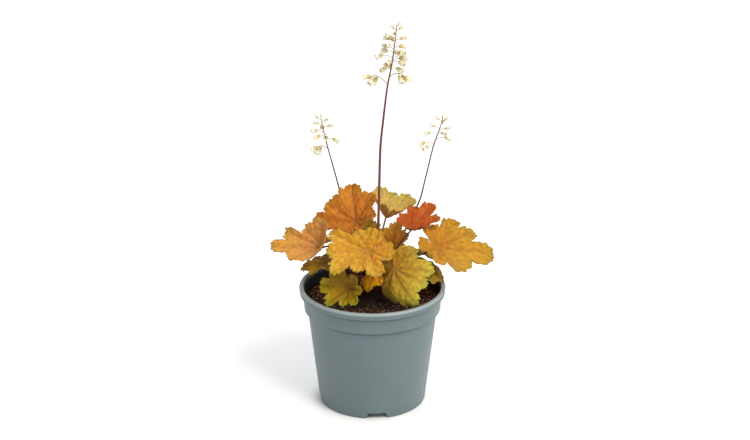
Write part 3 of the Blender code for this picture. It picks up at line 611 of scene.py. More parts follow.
# the tint's colours are those round the joint and on the back lobes, at the tip, at the edge, on veins
# the tints of the low, small and side leaves are partly darkened as painted shade, and those of the
# centre and amber leaves partly lightened as painted light
LEAVES = (
    Leaf("leaf_right", (62, -5, 156), 0, -25, 20, 49, 23, 11, 0.80, (11, -3.8), 2,
         "#b87a1c #c8921f #a08424 #d6a256",
         (0.95, 0.95, 0.98, 1.14, 0.97, 1.02, 0.85), (8, 3, -14, 11, 2, -12, -10)),
    Leaf("leaf_left", (-48, -8, 159), 161, -34, -33, 44, 33, -8, 0.86, (-8.8, -3), 10,
         "#d08e50 #dc9c40 #c09034 #eab480",
         (1, 0.8, 1.05, 1.15, 0.88, 1, 1.05), (16, 26, 9, -5, -13, 0, -24)),
    Leaf("leaf_tall", (-15.5, 12, 176), 92, 40, -25, 38, 24, 17, 0.88, (-4.4, 0), 0,
         "#ba6c22 #d2822a #b5741c #dc9450",
         (0.6, 0.86, 0.98, 1.06, 1.08, 1.5, 1.1), (0, 2, 0, 0, 2, -13, -8)),
    Leaf("leaf_front_gold", (-3, -28, 162), 209, -17, -17, 48, 19, 26, 0.86, (-2.2, -3.8), 0,
         "#c4841e #dca02c #b89a30 #e2b060",
         (0.92, 1.2, 0.94, 0.95, 0.75, 1.05, 0.85), (40, 26, 15, 5, -12, -24, -26)),
    Leaf("leaf_front_lime", (20, -38, 150), 276, -49, 47, 44, 1, 68, 0.90, (2.2, -3.8), 16,
         "#a47014 #cca836 #a8ac38 #d2b060",
         (1, 1.05, 0.95, 1, 0.95, 1.15, 1), (0, 14, 0, 12, 5, -16, -12)),
    Leaf("leaf_low_front", (-21, -45, 134), 254, -68, 18, 29, 28, 6, 0.76, (-4.4, -7.6), 6,
         "#6c480c #b08a10 #9a9a20 #a88a2c",
         (1.35, 1.3, 1.05, 0.7, 0.9, 1, 0.9), (2, 4, 4, -6, 7, -6, -12)),
    Leaf("leaf_back_pale", (13, 38, 171), 91, -3, 19, 37, 42, -9, 0.90, (4.4, 7.6), 2,
         "#c8a050 #cbb05c #aa9c40 #e2c888",
         (0.95, 1.15, 1.05, 0.85, 0.95, 1.05, 1), (0, 8, 6, 0, -9, -4, 0)),
    Leaf("leaf_young_red", (36, 5, 171), 47, 0, 11, 32, 36, 4, 0.77, (8.8, 0), 4,
         "#a84818 #c25c1e #aa5418 #d88450",
         (1, 1, 1.1, 1.15, 0.95, 0.8, 0.9), (0, 2, 2, 4, -2, -11, 5)),
    Leaf("leaf_centre", (18, 13.5, 149), 62, 38, 0, 27, 29, 16, 0.84, (6.6, 3.8), 0,
         "#e29834 #ecac40 #bc962c #d89c48", (0.55, 0.85, 0.95, 1, 0.95, 0.9, 0.88)),
    Leaf("leaf_low_amber", (3, -30, 143), 239, -36, 23, 22, 13, 38, 0.86, (0, -7.6), 4,
         "#cc880a #e8a212 #ba880a #d9a24a", (0.6, 0.8, 1, 1, 1, 0.8, 0.6)),
    Leaf("leaf_low_left", (-41, -15, 146), 183, -11, 3, 28.6, 15, 33, 0.84, (-11, -6.6), 6,
         "#88620c #a27e14 #8c780e #b08a44"),
    Leaf("leaf_low_right", (49, -24, 144), 345, -26, 3, 23, 13, 38, 0.84, (8.8, -7.6), 6,
         "#806214 #987a1c #8a781e #b49648"),
    Leaf("leaf_small_green", (37, -4.5, 149.5), 80, 8, 0, 11.2, 20, 20, 0.84, (6.6, -3.8), 4,
         "#5c5c10 #72701a #787220 #948e40"),
    Leaf("leaf_small_olive", (-5, 25, 159), 88, 20, 0, 24, 24, 20, 0.84, (-2.2, 3.8), 6,
         "#70560a #927618 #80701a #ae8c3c", (0.68, 0.78, 0.8, 0.9, 1, 1, 0.9)),
    Leaf("leaf_back_left", (-30, 37, 149), 122, -18, 0, 38, 15, 40, 0.84, (-4.4, 7.6), 8,
         "#ac7014 #cb8a20 #ac841e #dcae60"),
    Leaf("leaf_back_right", (33, 39.5, 137), 52, -22, 0, 40, 15, 40, 0.84, (2.2, 11.4), 8,
         "#9c7210 #b08c1c #8c8a1e #ceb25c"),
    Leaf("leaf_back_low", (1, 50, 130), 90, -28, 0, 32, 15, 40, 0.84, (-2.2, 11.4), 8,
         "#a46c12 #c07e1c #a4801c #d8a65c"),
    Leaf("leaf_side_left", (-46, 22, 132), 160, -15, 0, 24, 15, 38, 0.84, (-11, 2), 8,
         "#78620c #8e7a14 #847c18 #b49c4c"),
    Leaf("leaf_side_right", (45, 22, 130), 22, -15, 0, 23, 15, 38, 0.84, (11, 3.8), 8,
         "#78620c #907816 #867a18 #b49a4c"),
)
print(len(LEAVES), "leaves")

# %% [markdown]
# The outline comes first. A lobe runs from one cut between lobes, over its tip, to the next cut, and
# u goes from -1 to 1 across it. A shallow nick on each side of the tip parts it into three lobules,
# and the blunt teeth along the whole edge are small arches of 3 to 5 mm.

# %% The outline of a leaf
LOBE_ANGLES = (-138, -92, -46, 0, 46, 92, 138)
LOBE_REACH = (0.66, 0.80, 0.92, 1.0, 0.92, 0.80, 0.66)
# the slit at the stalk is narrower than the solid's, so that no light shows through it
STALK_CUT, STALK_CUT_REACH, BASAL_SPREAD = 3.0, 0.55, 82.0
LOBE_BLUNTNESS = 3.4
LOBULE_AT, LOBULE_WIDTH, LOBULE_DEPTH = 0.48, 0.1, 0.06
TOOTH_MM, TOOTH_GROWS, TOOTH_DEPTH, TOOTH_COLUMNS, TOOTH_ZONE = 2.4, 0.07, 0.24, 6, 8
FINE_STEPS = 120


def lobe_ends(leaf):
    """Each lobe as (right cut, tip, left cut), every one an (angle, reach) pair."""
    tips = [(angle + turn, reach * stretch) for angle, reach, turn, stretch
            in zip(LOBE_ANGLES, LOBE_REACH, leaf.turn, leaf.lobes)]
    cuts = [((a[0] + b[0]) / 2, leaf.sinus * min(a[1], b[1])) for a, b in zip(tips, tips[1:])]
    limit = 180 - STALK_CUT / 2
    first = (max(-limit, tips[0][0] - BASAL_SPREAD), STALK_CUT_REACH * tips[0][1])
    last = (min(limit, tips[-1][0] + BASAL_SPREAD), STALK_CUT_REACH * tips[-1][1])
    cuts = [first, *cuts, last]
    return list(zip(cuts, tips, cuts[1:]))


def margin(lobe, u):
    """Angle and reach of the smooth edge at u, which is an array."""
    right, tip, left = lobe
    cut_angle = np.where(u < 0, right[0], left[0])
    cut_reach = np.where(u < 0, right[1], left[1])
    angle = tip[0] + abs(u) * (cut_angle - tip[0])
    reach = cut_reach + (tip[1] - cut_reach) * (1 - abs(u) ** LOBE_BLUNTNESS)
    return angle, reach * (1 - LOBULE_DEPTH * np.exp(-((abs(u) - LOBULE_AT) / LOBULE_WIDTH) ** 2))


def flat(angle, reach):
    """Points on a flat sheet from angles in degrees and reaches."""
    side = np.radians(angle)
    return np.stack([reach * np.cos(side), reach * np.sin(side)], axis=-1)


def columns(leaf):
    """The columns of the grid: angle, reach and u of each, its lobe's tip, and its tooth's shift.

    The columns are spread evenly along the edge. Each tooth is an arch that stands square to the
    edge, so a column's end is shifted in angle and in reach to make it.
    """
    tooth = (TOOTH_MM + TOOTH_GROWS * leaf.size) / leaf.size
    rows = []
    for lobe in lobe_ends(leaf):
        fine = np.linspace(-1, 1, FINE_STEPS)
        steps = np.linalg.norm(np.diff(flat(*margin(lobe, fine)), axis=0), axis=1)
        run = np.concatenate([[0], np.cumsum(steps)])
        count = max(3, round(run[-1] / tooth)) * TOOTH_COLUMNS
        u = np.interp(np.arange(count) / count * run[-1], run, fine)
        t = (np.arange(count) % TOOTH_COLUMNS) / TOOTH_COLUMNS
        arch = np.sqrt(4 * t * (1 - t))
        rows.append(np.stack([*margin(lobe, u), u, 0 * u + lobe[1][0], 0 * u + lobe[1][1], arch]))
    angle, reach = margin(lobe, np.array([1.0]))
    rows.append(np.array([angle, reach, [1.0], [lobe[1][0]], [lobe[1][1]], [0.0]]))
    angle, reach, u, tip_angle, tip_reach, arch = np.concatenate(rows, axis=1)
    edge = flat(angle, reach)
    along = np.gradient(edge, axis=0)
    along /= np.linalg.norm(along, axis=1, keepdims=True)
    outward = np.stack([along[:, 1], -along[:, 0]], axis=1)
    toothed = edge - outward * (TOOTH_DEPTH * tooth * (1 - arch))[:, None]
    turn = np.degrees(np.arctan2(toothed[:, 1], toothed[:, 0])) - angle
    turn = (turn + 180) % 360 - 180
    return angle, reach, u, tip_angle, tip_reach, turn, np.linalg.norm(toothed, axis=1) - reach


print("columns in the largest leaf:", len(columns(LEAVES[0])[0]))

# %% [markdown]
# Now the form. Every line out from the joint is an arc of a circle, the blade dips along the lobes'
# veins, and slow waves run round its edge. On top of that lie the veins: they are sunk a little, and
# the blade swells between them. Side veins leave each main vein at 42 degrees, in pairs. The blade is
# made a little smaller than its solid, to make up for what the ruffles add.

# %% The form of a blade
FOLD, FOLD_LEVEL, RIPPLE, WAVES = 0.07, 0.4, 0.035, 3
SIDE_VEIN_ANGLE, SIDE_VEIN_SPACING = math.radians(42), 0.19
MAIN_VEIN_MM, SIDE_VEIN_MM, VEIN_AT_JOINT, VEIN_TAPER = 0.8, 0.55, 1.25, 0.8
SIDE_VEIN_BOW, SIDE_VEIN_WANDER, SIDE_VEIN_FROM_MM, SWELL_FROM = 0.25, 0.22, 1.5, 0.1
SWELL_MM, MAIN_SINK_MM, RUFFLE_MM, BUCKLE_MM, BUCKLE_SIZE_MM = 0.8, 0.6, 1.0, 0.5, 1.7
FULL_RELIEF_SIZE = 45
LEAF_THICKNESS_MM, BLADE_FIT = 0.45, 0.98


def leaf_frame(leaf):
    """Where a leaf's joint is and how the leaf is turned."""
    turns = Matrix.Rotation(math.radians(leaf.heading), 4, "Z")
    turns @= Matrix.Rotation(math.radians(-leaf.pitch), 4, "Y")
    turns @= Matrix.Rotation(math.radians(leaf.roll), 4, "X")
    return Matrix.Translation(Vector(leaf.at)) @ turns


def on_blade(leaf, angle, out, u, relief=0.0):
    """Points of the blade in mm; out is 1 a midrib's length away, and all four may be arrays."""
    start = math.radians(leaf.funnel)
    curl = math.radians(leaf.curl)
    reach = (np.sin(start) - np.sin(start - curl * out)) / curl
    rise = (np.cos(start - curl * out) - np.cos(start)) / curl
    side = np.radians(angle)
    dip = (1 - np.cos(np.pi * u)) / 2
    wave = np.sin(WAVES * side + leaf.size)
    rise = rise + FOLD * out * (dip - FOLD_LEVEL) + RIPPLE * out * out * wave
    local = np.stack([reach * np.cos(side), reach * np.sin(side), rise], axis=-1) * leaf.size
    local[..., 2] += relief
    axes = np.array(leaf_frame(leaf))
    return local @ axes[:3, :3].T + axes[:3, 3]


def veins(leaf, angle, out, tip_angle, tip_reach):
    """How much each point is on a main vein, on a side vein, and out on the swelling between."""
    off = np.radians(angle - tip_angle)
    length = out * np.cos(off) * leaf.size
    across = np.abs(out * np.sin(off)) * leaf.size
    main = np.exp(-(across / (MAIN_VEIN_MM * (VEIN_AT_JOINT - VEIN_TAPER * out / tip_reach))) ** 2)
    spacing = SIDE_VEIN_SPACING * leaf.size
    phase = (length - across / math.tan(SIDE_VEIN_ANGLE) + SIDE_VEIN_BOW * across) / spacing
    phase = phase + 0.5 * (off > 0) + SIDE_VEIN_WANDER * np.sin(1.9 * phase + tip_angle)
    near = np.abs(phase - np.round(phase))
    side = np.exp(-(near * spacing * math.sin(SIDE_VEIN_ANGLE) / SIDE_VEIN_MM) ** 2)
    side = side * (1 - main) * np.clip(across / SIDE_VEIN_FROM_MM, 0, 1)
    swell = np.sin(np.pi * near) ** 0.8 * np.clip(across / (SWELL_FROM * leaf.size), 0, 1)
    return main, side, swell


def buckles(leaf, angle, out):
    """Uneven bumps, from -1 to 1, where the blade has grown faster than its veins.

    The waves bend each other, by numbers that only keep the bumps from lining up.
    """
    side = np.radians(angle)
    x = out * np.cos(side) * leaf.size / BUCKLE_SIZE_MM
    y = out * np.sin(side) * leaf.size / BUCKLE_SIZE_MM
    first = np.sin(x + 1.6 * np.sin(0.7 * y + leaf.size))
    return first * np.sin(1.1 * y + 1.4 * np.sin(0.6 * x + leaf.heading))


# %% [markdown]
# One function makes the blade: the upper side, the lower side a leaf's thickness below it, and a
# strip that joins the two round the edge. It also stores what the material reads: the leaf's colours,
# how near each point is to a vein, how far it is puffed up, which the material paints as light and
# shade, and which side it is on.

# %% Make the blades
RINGS_LEAST, RING_MM, RINGS_OUTWARD, JOINT_CALM = 12, 2.4, 0.85, 0.12
RUFFLES, FINE_RUFFLES, RIM_WIDTH = 11, 23, 5
TIPWARD_AT_JOINT, TIPWARD_FORWARD, TIPWARD_OUT = 0.2, 0.5, 0.35


def mixed(a, b, amount):
    """A row of numbers between a and b for each amount."""
    return a + (b - a) * amount[..., None]


def blade(leaf, finish):
    """One finished leaf blade."""
    column_angle, reach, u, tip_angle, tip_reach, tooth_turn, tooth_reach = columns(leaf)
    reach = reach * BLADE_FIT
    rings = RINGS_LEAST + int(leaf.size / RING_MM)
    part = (np.arange(1, rings + 1) / rings)[:, None] ** RINGS_OUTWARD
    angle = column_angle + tooth_turn * part ** TOOTH_ZONE
    out = part * reach + tooth_reach * part ** TOOTH_ZONE
    main, side, swell = veins(leaf, angle, out, tip_angle, tip_reach)
    buckle = buckles(leaf, angle, out)
    fade = np.clip(out / JOINT_CALM, 0, 1)
    turns = np.radians(column_angle)
    ruffle = np.sin(RUFFLES * turns + leaf.heading) + 0.5 * np.sin(FINE_RUFFLES * turns)
    scale = leaf.size / FULL_RELIEF_SIZE
    relief = SWELL_MM * swell * scale + BUCKLE_MM * buckle - MAIN_SINK_MM * main
    relief = fade * relief + RUFFLE_MM * part ** RIM_WIDTH * ruffle * scale
    upper = on_blade(leaf, angle, out, u, relief)
    joint = on_blade(leaf, 0.0, 0.0, 0.0)[None]
    count = upper.shape[1]

    along_ring = np.gradient(upper, axis=1)
    along_column = np.gradient(upper, axis=0)
    normal = np.cross(along_column, along_ring)
    normal /= np.linalg.norm(normal, axis=-1, keepdims=True)
    lower = upper - normal * LEAF_THICKNESS_MM
    up = np.array(leaf_frame(leaf))[:3, 2]
    top = np.concatenate([joint, upper.reshape(-1, 3)])
    bottom = np.concatenate([joint - up * LEAF_THICKNESS_MM, lower.reshape(-1, 3)])
    points = np.concatenate([top, bottom]) * MM

    one = len(top)
    grid = 1 + np.arange(rings * count).reshape(rings, count)
    edge = [0, *grid[:, 0].tolist(), *grid[-1, 1:].tolist(), *grid[-2::-1, -1].tolist()]
    faces = [(a, one + a, one + b, b) for a, b in zip(edge, edge[1:] + edge[:1])]
    for i in range(count - 1):
        faces += [(0, 1 + i, 2 + i), (one, one + 2 + i, one + 1 + i)]
        for a in grid[:-1, i].tolist():
            faces.append((a, a + count, a + count + 1, a + 1))
            faces.append((one + a, one + a + 1, one + a + count + 1, one + a + count))

    made = new_object(leaf.name + "_blade", points, faces)
    heart, body, rim, vein = (np.array(colour(code)) for code in leaf.tint.split())
    forward = out * np.cos(np.radians(angle))
    # from the heart's colour near the joint and on the back lobes to the body's towards the tips; the
    # darker heart is partly the leaf's own colour and partly painted shade
    tipward_tone = np.clip(TIPWARD_AT_JOINT + TIPWARD_FORWARD * forward + TIPWARD_OUT * out, 0, 1)
    tint = mixed(mixed(heart, body, tipward_tone), rim, part ** RIM_WIDTH * (0.3 + 0.7 * tipward_tone))
    tint = np.concatenate([heart[None], tint.reshape(-1, 4)])
    shown = np.clip(main + 0.4 * side, 0, 1) * (1 - 0.6 * part ** 3)
    # how far the blade is puffed up, which the material paints as light and shade
    puff = np.clip(0.35 + 0.35 * swell + 0.3 * buckle - 0.3 * main, 0, 1) * fade
    paint(made, "tint", np.concatenate([tint, tint]), "FLOAT_COLOR")
    paint(made, "vein_tint", np.broadcast_to(vein, (2 * one, 4)), "FLOAT_COLOR")
    paint(made, "vein", np.tile([1.0, *shown.ravel()], 2))
    paint(made, "puff", np.tile([0.0, *puff.ravel()], 2))
    paint(made, "underside", np.concatenate([np.zeros(one), np.ones(one)]))
    made.data.materials.append(finish)
    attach(made, "root")
    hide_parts(leaf.name)
    return made


# %% [markdown]
# A living leaf is a thin, waxy, slightly see-through skin. Under the wax lie patches where the green
# shows through the gold, small blotches, and cells too small to see that bulge the skin up between
# the finest veins. Those meshes are about 1.5 mm across. The blade is painted lighter where it swells
# and darker in its creases and on its main veins, as painted highlight and shade. The underside is
# duller and flushed with pink.

# %% Living leaf
MESH_OF_VEINS_MM, PATCH_MM, BLOTCH_MM = 1.5, 9.0, 3.0
living_leaf, tree, shader, place = new_material("living heuchera leaf")
tint, vein_tint = (
    add(tree, "ShaderNodeAttribute", attribute_name=name).outputs["Color"]
    for name in ("tint", "vein_tint")
)
vein, puff, underside = (
    add(tree, "ShaderNodeAttribute", attribute_name=name).outputs["Fac"]
    for name in ("vein", "puff", "underside")
)
patches, blotches = (
    add(tree, "ShaderNodeTexNoise", {
        "Vector": place, "Scale": 1 / (size * MM), "Detail": detail,
    }).outputs["Fac"] for size, detail in ((PATCH_MM, 4.0), (BLOTCH_MM, 3.0))
)
cells = add(tree, "ShaderNodeTexVoronoi", {
    "Vector": place, "Scale": 1 / (MESH_OF_VEINS_MM * MM),
}, feature="DISTANCE_TO_EDGE").outputs["Distance"]
hue, value, gloss, blotched = (
    add(tree, "ShaderNodeMapRange", {
        "Value": source, "From Min": 0.3, "From Max": 0.7, "To Min": least, "To Max": most,
    }).outputs["Result"]
    for source, least, most in (
        (patches, 0.494, 0.51), (patches, 1.1, 0.92), (patches, 0.42, 0.58), (blotches, 0.86, 1.14),
    )
)
# painted highlight where the blade swells and painted shade in its creases and on its main veins
painted_relief_light = add(tree, "ShaderNodeMapRange", {"Value": puff, "To Min": 0.7, "To Max": 1.16})
shade_and_blotches = add(tree, "ShaderNodeMath", {0: painted_relief_light.outputs["Result"], 1: blotched}, operation="MULTIPLY")
patched = add(tree, "ShaderNodeHueSaturation", {"Color": tint, "Hue": hue, "Value": value})
modelled = add(tree, "ShaderNodeHueSaturation", {
    "Color": patched.outputs["Color"], "Value": shade_and_blotches.outputs[0],
})
painted = layered(tree, modelled.outputs["Color"], vein_tint, cells, 0.12, 0.0, most=0.14)
painted = layered(tree, painted, vein_tint, vein, most=0.24)
painted = layered(tree, painted, "#b4714c", underside, most=0.3)
puffed = add(tree, "ShaderNodeBump", {"Height": cells, "Strength": 0.35, "Distance": 0.5 * MM})
wire(tree, shader, {
    "Base Color": painted, "Roughness": gloss, "IOR": 1.43, "Specular IOR Level": 0.15,
    "Subsurface Weight": 0.12, "Subsurface Scale": 2 * MM, "Normal": puffed.outputs["Normal"],
})

faces_made = sum(len(blade(leaf, living_leaf).data.polygons) for leaf in LEAVES)
print("blade faces:", faces_made)

# %% [markdown]
# ## Stalks
#
# Leaf stalks, flower stalks and the hair-thin stalks of the bells are all round stems that follow a
# path and taper. One node tree makes them: it turns a chain of edges into a curve and sweeps a
# circle along it, scaled by the thickness that is stored on each point.

# %% A tree that sweeps a stalk
STALK_SIDES = 10
stalks, given = new_tree("stalk along a path", {"Sides": "Int", "Finish": "Material"})
line = add(stalks, "GeometryNodeMeshToCurve", {"Mesh": given["Geometry"]})
ring = add(stalks, "GeometryNodeCurvePrimitiveCircle", {"Resolution": given["Sides"], "Radius": 1.0})
thick = add(stalks, "GeometryNodeInputNamedAttribute", {"Name": "thick"}, data_type="FLOAT")
swept = add(stalks, "GeometryNodeCurveToMesh", {
    "Curve": line.outputs["Curve"], "Profile Curve": ring.outputs["Curve"],
    "Scale": thick.outputs["Attribute"], "Fill Caps": True,
})
end_tree(stalks, swept.outputs["Mesh"], given["Finish"])


def sweep(name, paths):
    """The stalks of a leaf or spray from paths, each of (point in mm, radius in mm, tone) rows."""
    rows, edges = [], []
    for path in paths:
        edges += [(i, i + 1) for i in range(len(rows), len(rows) + len(path) - 1)]
        rows += path
    points, radii, tones = zip(*rows)
    made = new_object(name + "_stalk", [Vector(point) * MM for point in points], [], edges)
    paint(made, "thick", [radius * MM for radius in radii])
    paint(made, "tone", tones)
    run_tree(made, stalks, {"Sides": STALK_SIDES, "Finish": stalk_skin})
    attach(made, "root")
    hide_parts(name)


# %% Leaf stalks
PETIOLE_FOOT_RADIUS, PETIOLE_TIP_RADIUS, PETIOLE_STEPS = 1.2, 0.8, 18
PETIOLE_UNDER_BLADE, PETIOLE_RUN = 0.8, 5.0
PETIOLE_BACK, PETIOLE_DOWN, PETIOLE_UP = 0.16, 0.2, 0.35
STEM_FOOT_Z, STEM_STRAIGHT_TOP_Z = 103.0, 112.5
PETIOLE_TIP_TONE, STALK_FOOT_SHADE_ENDS = 0.58, 0.18
SKIN_MM = 0.7

stalk_skin, tree, shader, place = new_material("red stalk skin")
tone = add(tree, "ShaderNodeAttribute", attribute_name="tone").outputs["Fac"]
streaks = add(tree, "ShaderNodeTexNoise", {
    "Vector": place, "Scale": 1 / (SKIN_MM * MM), "Detail": 2.0,
}).outputs["Fac"]
# the stalks' own dark red at the foot, deepened there as painted shade under the leaves
painted = layered(tree, "#3a100a", "#803806", tone, 0.0, STALK_FOOT_SHADE_ENDS)
painted = layered(tree, painted, "#542426", tone, STALK_FOOT_SHADE_ENDS, 0.24)
painted = layered(tree, painted, "#94825c", tone, 0.6, 0.85)
painted = layered(tree, painted, "#94582c", streaks, 0.35, 0.65, most=0.25)
wire(tree, shader, {
    "Base Color": painted, "Roughness": 0.42, "IOR": 1.43,
    "Sheen Weight": 0.08, "Sheen Roughness": 0.4, "Sheen Tint": "#f2c8b8",
    "Subsurface Weight": 0.05, "Subsurface Scale": 1 * MM,
})


def petiole(leaf):
    """The leaf stalk: upright out of the crown, arched to the joint, then under the midrib."""
    foot = Vector((*leaf.spot, STEM_STRAIGHT_TOP_Z))
    under = -PETIOLE_UNDER_BLADE
    joint = Vector(on_blade(leaf, 0.0, 0.0, 0.0, under))
    axes = leaf_frame(leaf).to_3x3()
    span = (joint - foot).length
    bend = Vector((0, 0, leaf.bend))
    back, down = axes.col[0] * span * PETIOLE_BACK, axes.col[2] * span * PETIOLE_DOWN
    handle_in = joint - back - down + bend
    handle_out = foot + Vector((0, 0, span * PETIOLE_UP)) + bend
    arch = interpolate_bezier(foot, handle_out, handle_in, joint, PETIOLE_STEPS + 1)
    end = on_blade(leaf, 0.0, PETIOLE_RUN / leaf.size, 0.0, under)
    points = [Vector((*leaf.spot, STEM_FOOT_Z)), *arch, Vector(end)]
    last = len(points) - 1
    taper = PETIOLE_FOOT_RADIUS - PETIOLE_TIP_RADIUS
    return [(point, PETIOLE_FOOT_RADIUS - taper * i / last, PETIOLE_TIP_TONE * i / last)
            for i, point in enumerate(points)]


for leaf in LEAVES:
    sweep(leaf.name, [petiole(leaf)])
print("leaf stalks:", len(LEAVES))

# %% [markdown]
# ## The flower sprays
#
# Each spray is a bare stalk with bells on short stalks that leave it all round, and a longer arched
# branch or two at the bottom with three bells each. The table repeats the solids' values again:
# florets are (height, reach, azimuth), and an arm's sweep is how far over its arch it goes.

# %% The spray table
Arm = namedtuple("Arm", "height reach rise sweep droop azimuth")
Spray = namedtuple("Spray", "name route radii bell florets arms")
SPRAYS = (
    Spray(
        "flower_spray_1",
        ((2.2, 3.8, 103), (2.2, 3.8, 113), (5, 4, 156), (6.4, 3, 213), (7.5, 3, 254), (9.6, 2, 277),
         (12, 2, 299), (14.2, 2, 316), (17.3, 1, 332), (19.8, 1, 350), (21.6, 0, 364), (22, 0, 372)),
        (1.5, 0.4),
        1.02,
        ((371, 1, 0), (367, 2.5, 150), (366, 3, 20), (362, 3, 260), (359, 4, 190), (357, 4.5, 350),
         (356, 5, 165), (355, 3.5, 110), (352, 4.5, 215), (350, 4.5, 10), (349, 5, 155), (347, 4, 300),
         (346, 5, 175), (346, 6, 330), (343, 5, 60), (341, 6, 355), (341, 9, 185), (338, 5, 240),
         (338, 7, 25), (337, 7, 325), (332, 5.5, 100), (332, 4, 200), (331, 5, 340)),
        (Arm(316, 15, 8, 0.62, 0, 178), Arm(323, 13.5, 3.4, 0.95, 0.5, 2)),
    ),
    Spray(
        "flower_spray_2",
        ((-6.6, 3.8, 103), (-6.6, 3.8, 113), (-21, 22, 150), (-28, 37, 181), (-32.5, 38, 204),
         (-42, 38, 241), (-46, 38, 258.5), (-48, 38, 269), (-48.5, 38, 273)),
        (1.0, 0.35),
        0.9,
        ((272.5, 0.5, 90), (270, 2.5, 200), (268, 2.5, 340), (265, 3.5, 190), (262.5, 4, 0),
         (260, 3, 100), (258, 6, 185), (256, 4, 280), (253.5, 4.5, 190), (250.5, 6.5, 350)),
        (Arm(242, 9.5, 2.6, 0.7, 0.4, 186),),
    ),
    Spray(
        "flower_spray_3",
        ((8.8, 7.6, 103), (8.8, 7.6, 113), (26, 27, 150), (43.5, 34, 186), (48, 34, 201),
         (57.5, 34, 244), (63, 34, 261), (65.5, 34, 270), (66.3, 34, 274)),
        (1.0, 0.35),
        0.9,
        ((273, 0.5, 90), (270, 3, 170), (269.5, 3, 0), (266, 2.5, 60), (263, 4.5, 175), (261, 5, 350),
         (258, 3, 330), (256.5, 6.5, 180), (252, 8, 355), (247, 8.5, 178), (245, 5, 200)),
        (),
    ),
)
PEDICEL_RADIUS, PEDICEL_RISE, PEDICEL_RISE_UP = 0.26, 0.25, 0.4
PEDICEL_BOW, PEDICEL_INTO_BELL, PEDICEL_TONES = 0.12, 0.5, (0.9, 0.95, 1.0)
BUD_SHRINK, BELL_SWELL, BELL_DROOP, BUD_LIFT = 0.42, 0.22, 0.5, 1.9
ARM_RADIUS, ARM_STEPS, ARM_TONE = 0.4, 10, 0.85
# how far along the arm each of its bells is, its turn and drop, and its stalk's length in mm
ARM_BELLS = ((1.0, 0.0, -0.15, 0.2), (0.8, 45.0, -0.9, 2.2), (0.6, -50.0, -1.2, 2.2))

# %% [markdown]
# A bell is an urn of five fused sepals that flare at the mouth, with five narrow petals between
# them and dark-tipped stamens inside. It is turned like the pot, with the mouth pulled out into
# lobes by the angle, and stored tones colour it from olive at the foot to cream at the mouth. The
# petals would be too small to show, so they are left out.

# %% One bell
# radius and height in mm, tone, and flare, which is how far the lobes pull a ring out; the rows go
# up the outside and back down the inside
BELL_PROFILE = (
    (0.4, 0.0, 0.0, 0.0), (1.2, 0.5, 0.05, 0.0), (1.65, 1.5, 0.2, 0.0), (1.75, 2.8, 0.45, 0.05),
    (1.85, 4.0, 0.8, 0.15), (2.3, 5.0, 1.0, 0.5), (2.7, 5.8, 1.0, 1.0), (2.1, 5.1, 0.95, 0.5),
    (1.4, 4.0, 0.7, 0.1), (1.2, 2.6, 0.4, 0.0),
)
BELL_TURNS, SEPALS, LOBE_OUT, LOBE_UP = 15, 5, 0.45, 0.7
# height in mm, thickness and tone of a stamen
STAMEN_PROFILE = ((2.4, 0.6, 1.0), (5.5, 0.8, 1.0), (5.8, 1.9, 2.0), (6.2, 1.2, 2.0))
STAMENS, STAMEN_RADIUS, STAMEN_OUT = 5, 0.16, 0.75


def bell_shape(name):
    """A bell that opens upwards from the origin, with its stamens."""
    points, tones = [(0, 0, 0)], [0.0]
    for radius, height, tone, flare in BELL_PROFILE:
        for i in range(BELL_TURNS):
            angle = math.tau * i / BELL_TURNS
            lobe = math.cos(SEPALS * angle)
            out = radius + flare * LOBE_OUT * lobe
            points.append(round_axis(out, angle, height + flare * LOBE_UP * lobe))
            tones.append(tone)
    points.append((0, 0, height))
    tones.append(tone)
    faces = wrapped(len(BELL_PROFILE), BELL_TURNS, turned=True)
    for k in range(STAMENS):
        angle = math.tau * (k + 0.5) / STAMENS
        first = len(points)
        for height, fat, tone in STAMEN_PROFILE:
            for side in range(3):
                rim = round_axis(fat * STAMEN_RADIUS, angle + math.tau * side / 3, height)
                points.append(Vector(round_axis(STAMEN_OUT, angle, 0)) + Vector(rim))
                tones.append(tone)
        faces += [(first + 2, first + 1, first), (first + 9, first + 10, first + 11)]
        for ring in range(first, first + 9, 3):
            for side in range(3):
                a, b = ring + side, ring + (side + 1) % 3
                faces.append((a, b, b + 3, a + 3))
    made = new_object(name, [Vector(p) * MM for p in points], faces)
    paint(made, "tone", tones)
    return made


bell = bell_shape("bell_pattern")
print("faces a bell:", len(bell.data.polygons))

# %% A tree that hangs the bells
hang, given = new_tree("hang bells", {"Bell": "Object", "Finish": "Material"})
aim = add(hang, "GeometryNodeInputNamedAttribute", {"Name": "aim"}, data_type="FLOAT_VECTOR")
fit = add(hang, "GeometryNodeInputNamedAttribute", {"Name": "fit"}, data_type="FLOAT")
facing = add(hang, "FunctionNodeAlignRotationToVector", {"Vector": aim.outputs["Attribute"]}, axis="Z")
pattern = add(hang, "GeometryNodeObjectInfo", {"Object": given["Bell"]})
dots = add(hang, "GeometryNodeMeshToPoints", {"Mesh": given["Geometry"]})
hung = add(hang, "GeometryNodeInstanceOnPoints", {
    "Points": dots.outputs["Points"], "Instance": pattern.outputs["Geometry"],
    "Rotation": facing.outputs["Rotation"], "Scale": fit.outputs["Attribute"],
})
end_tree(hang, hung.outputs["Instances"], given["Finish"])

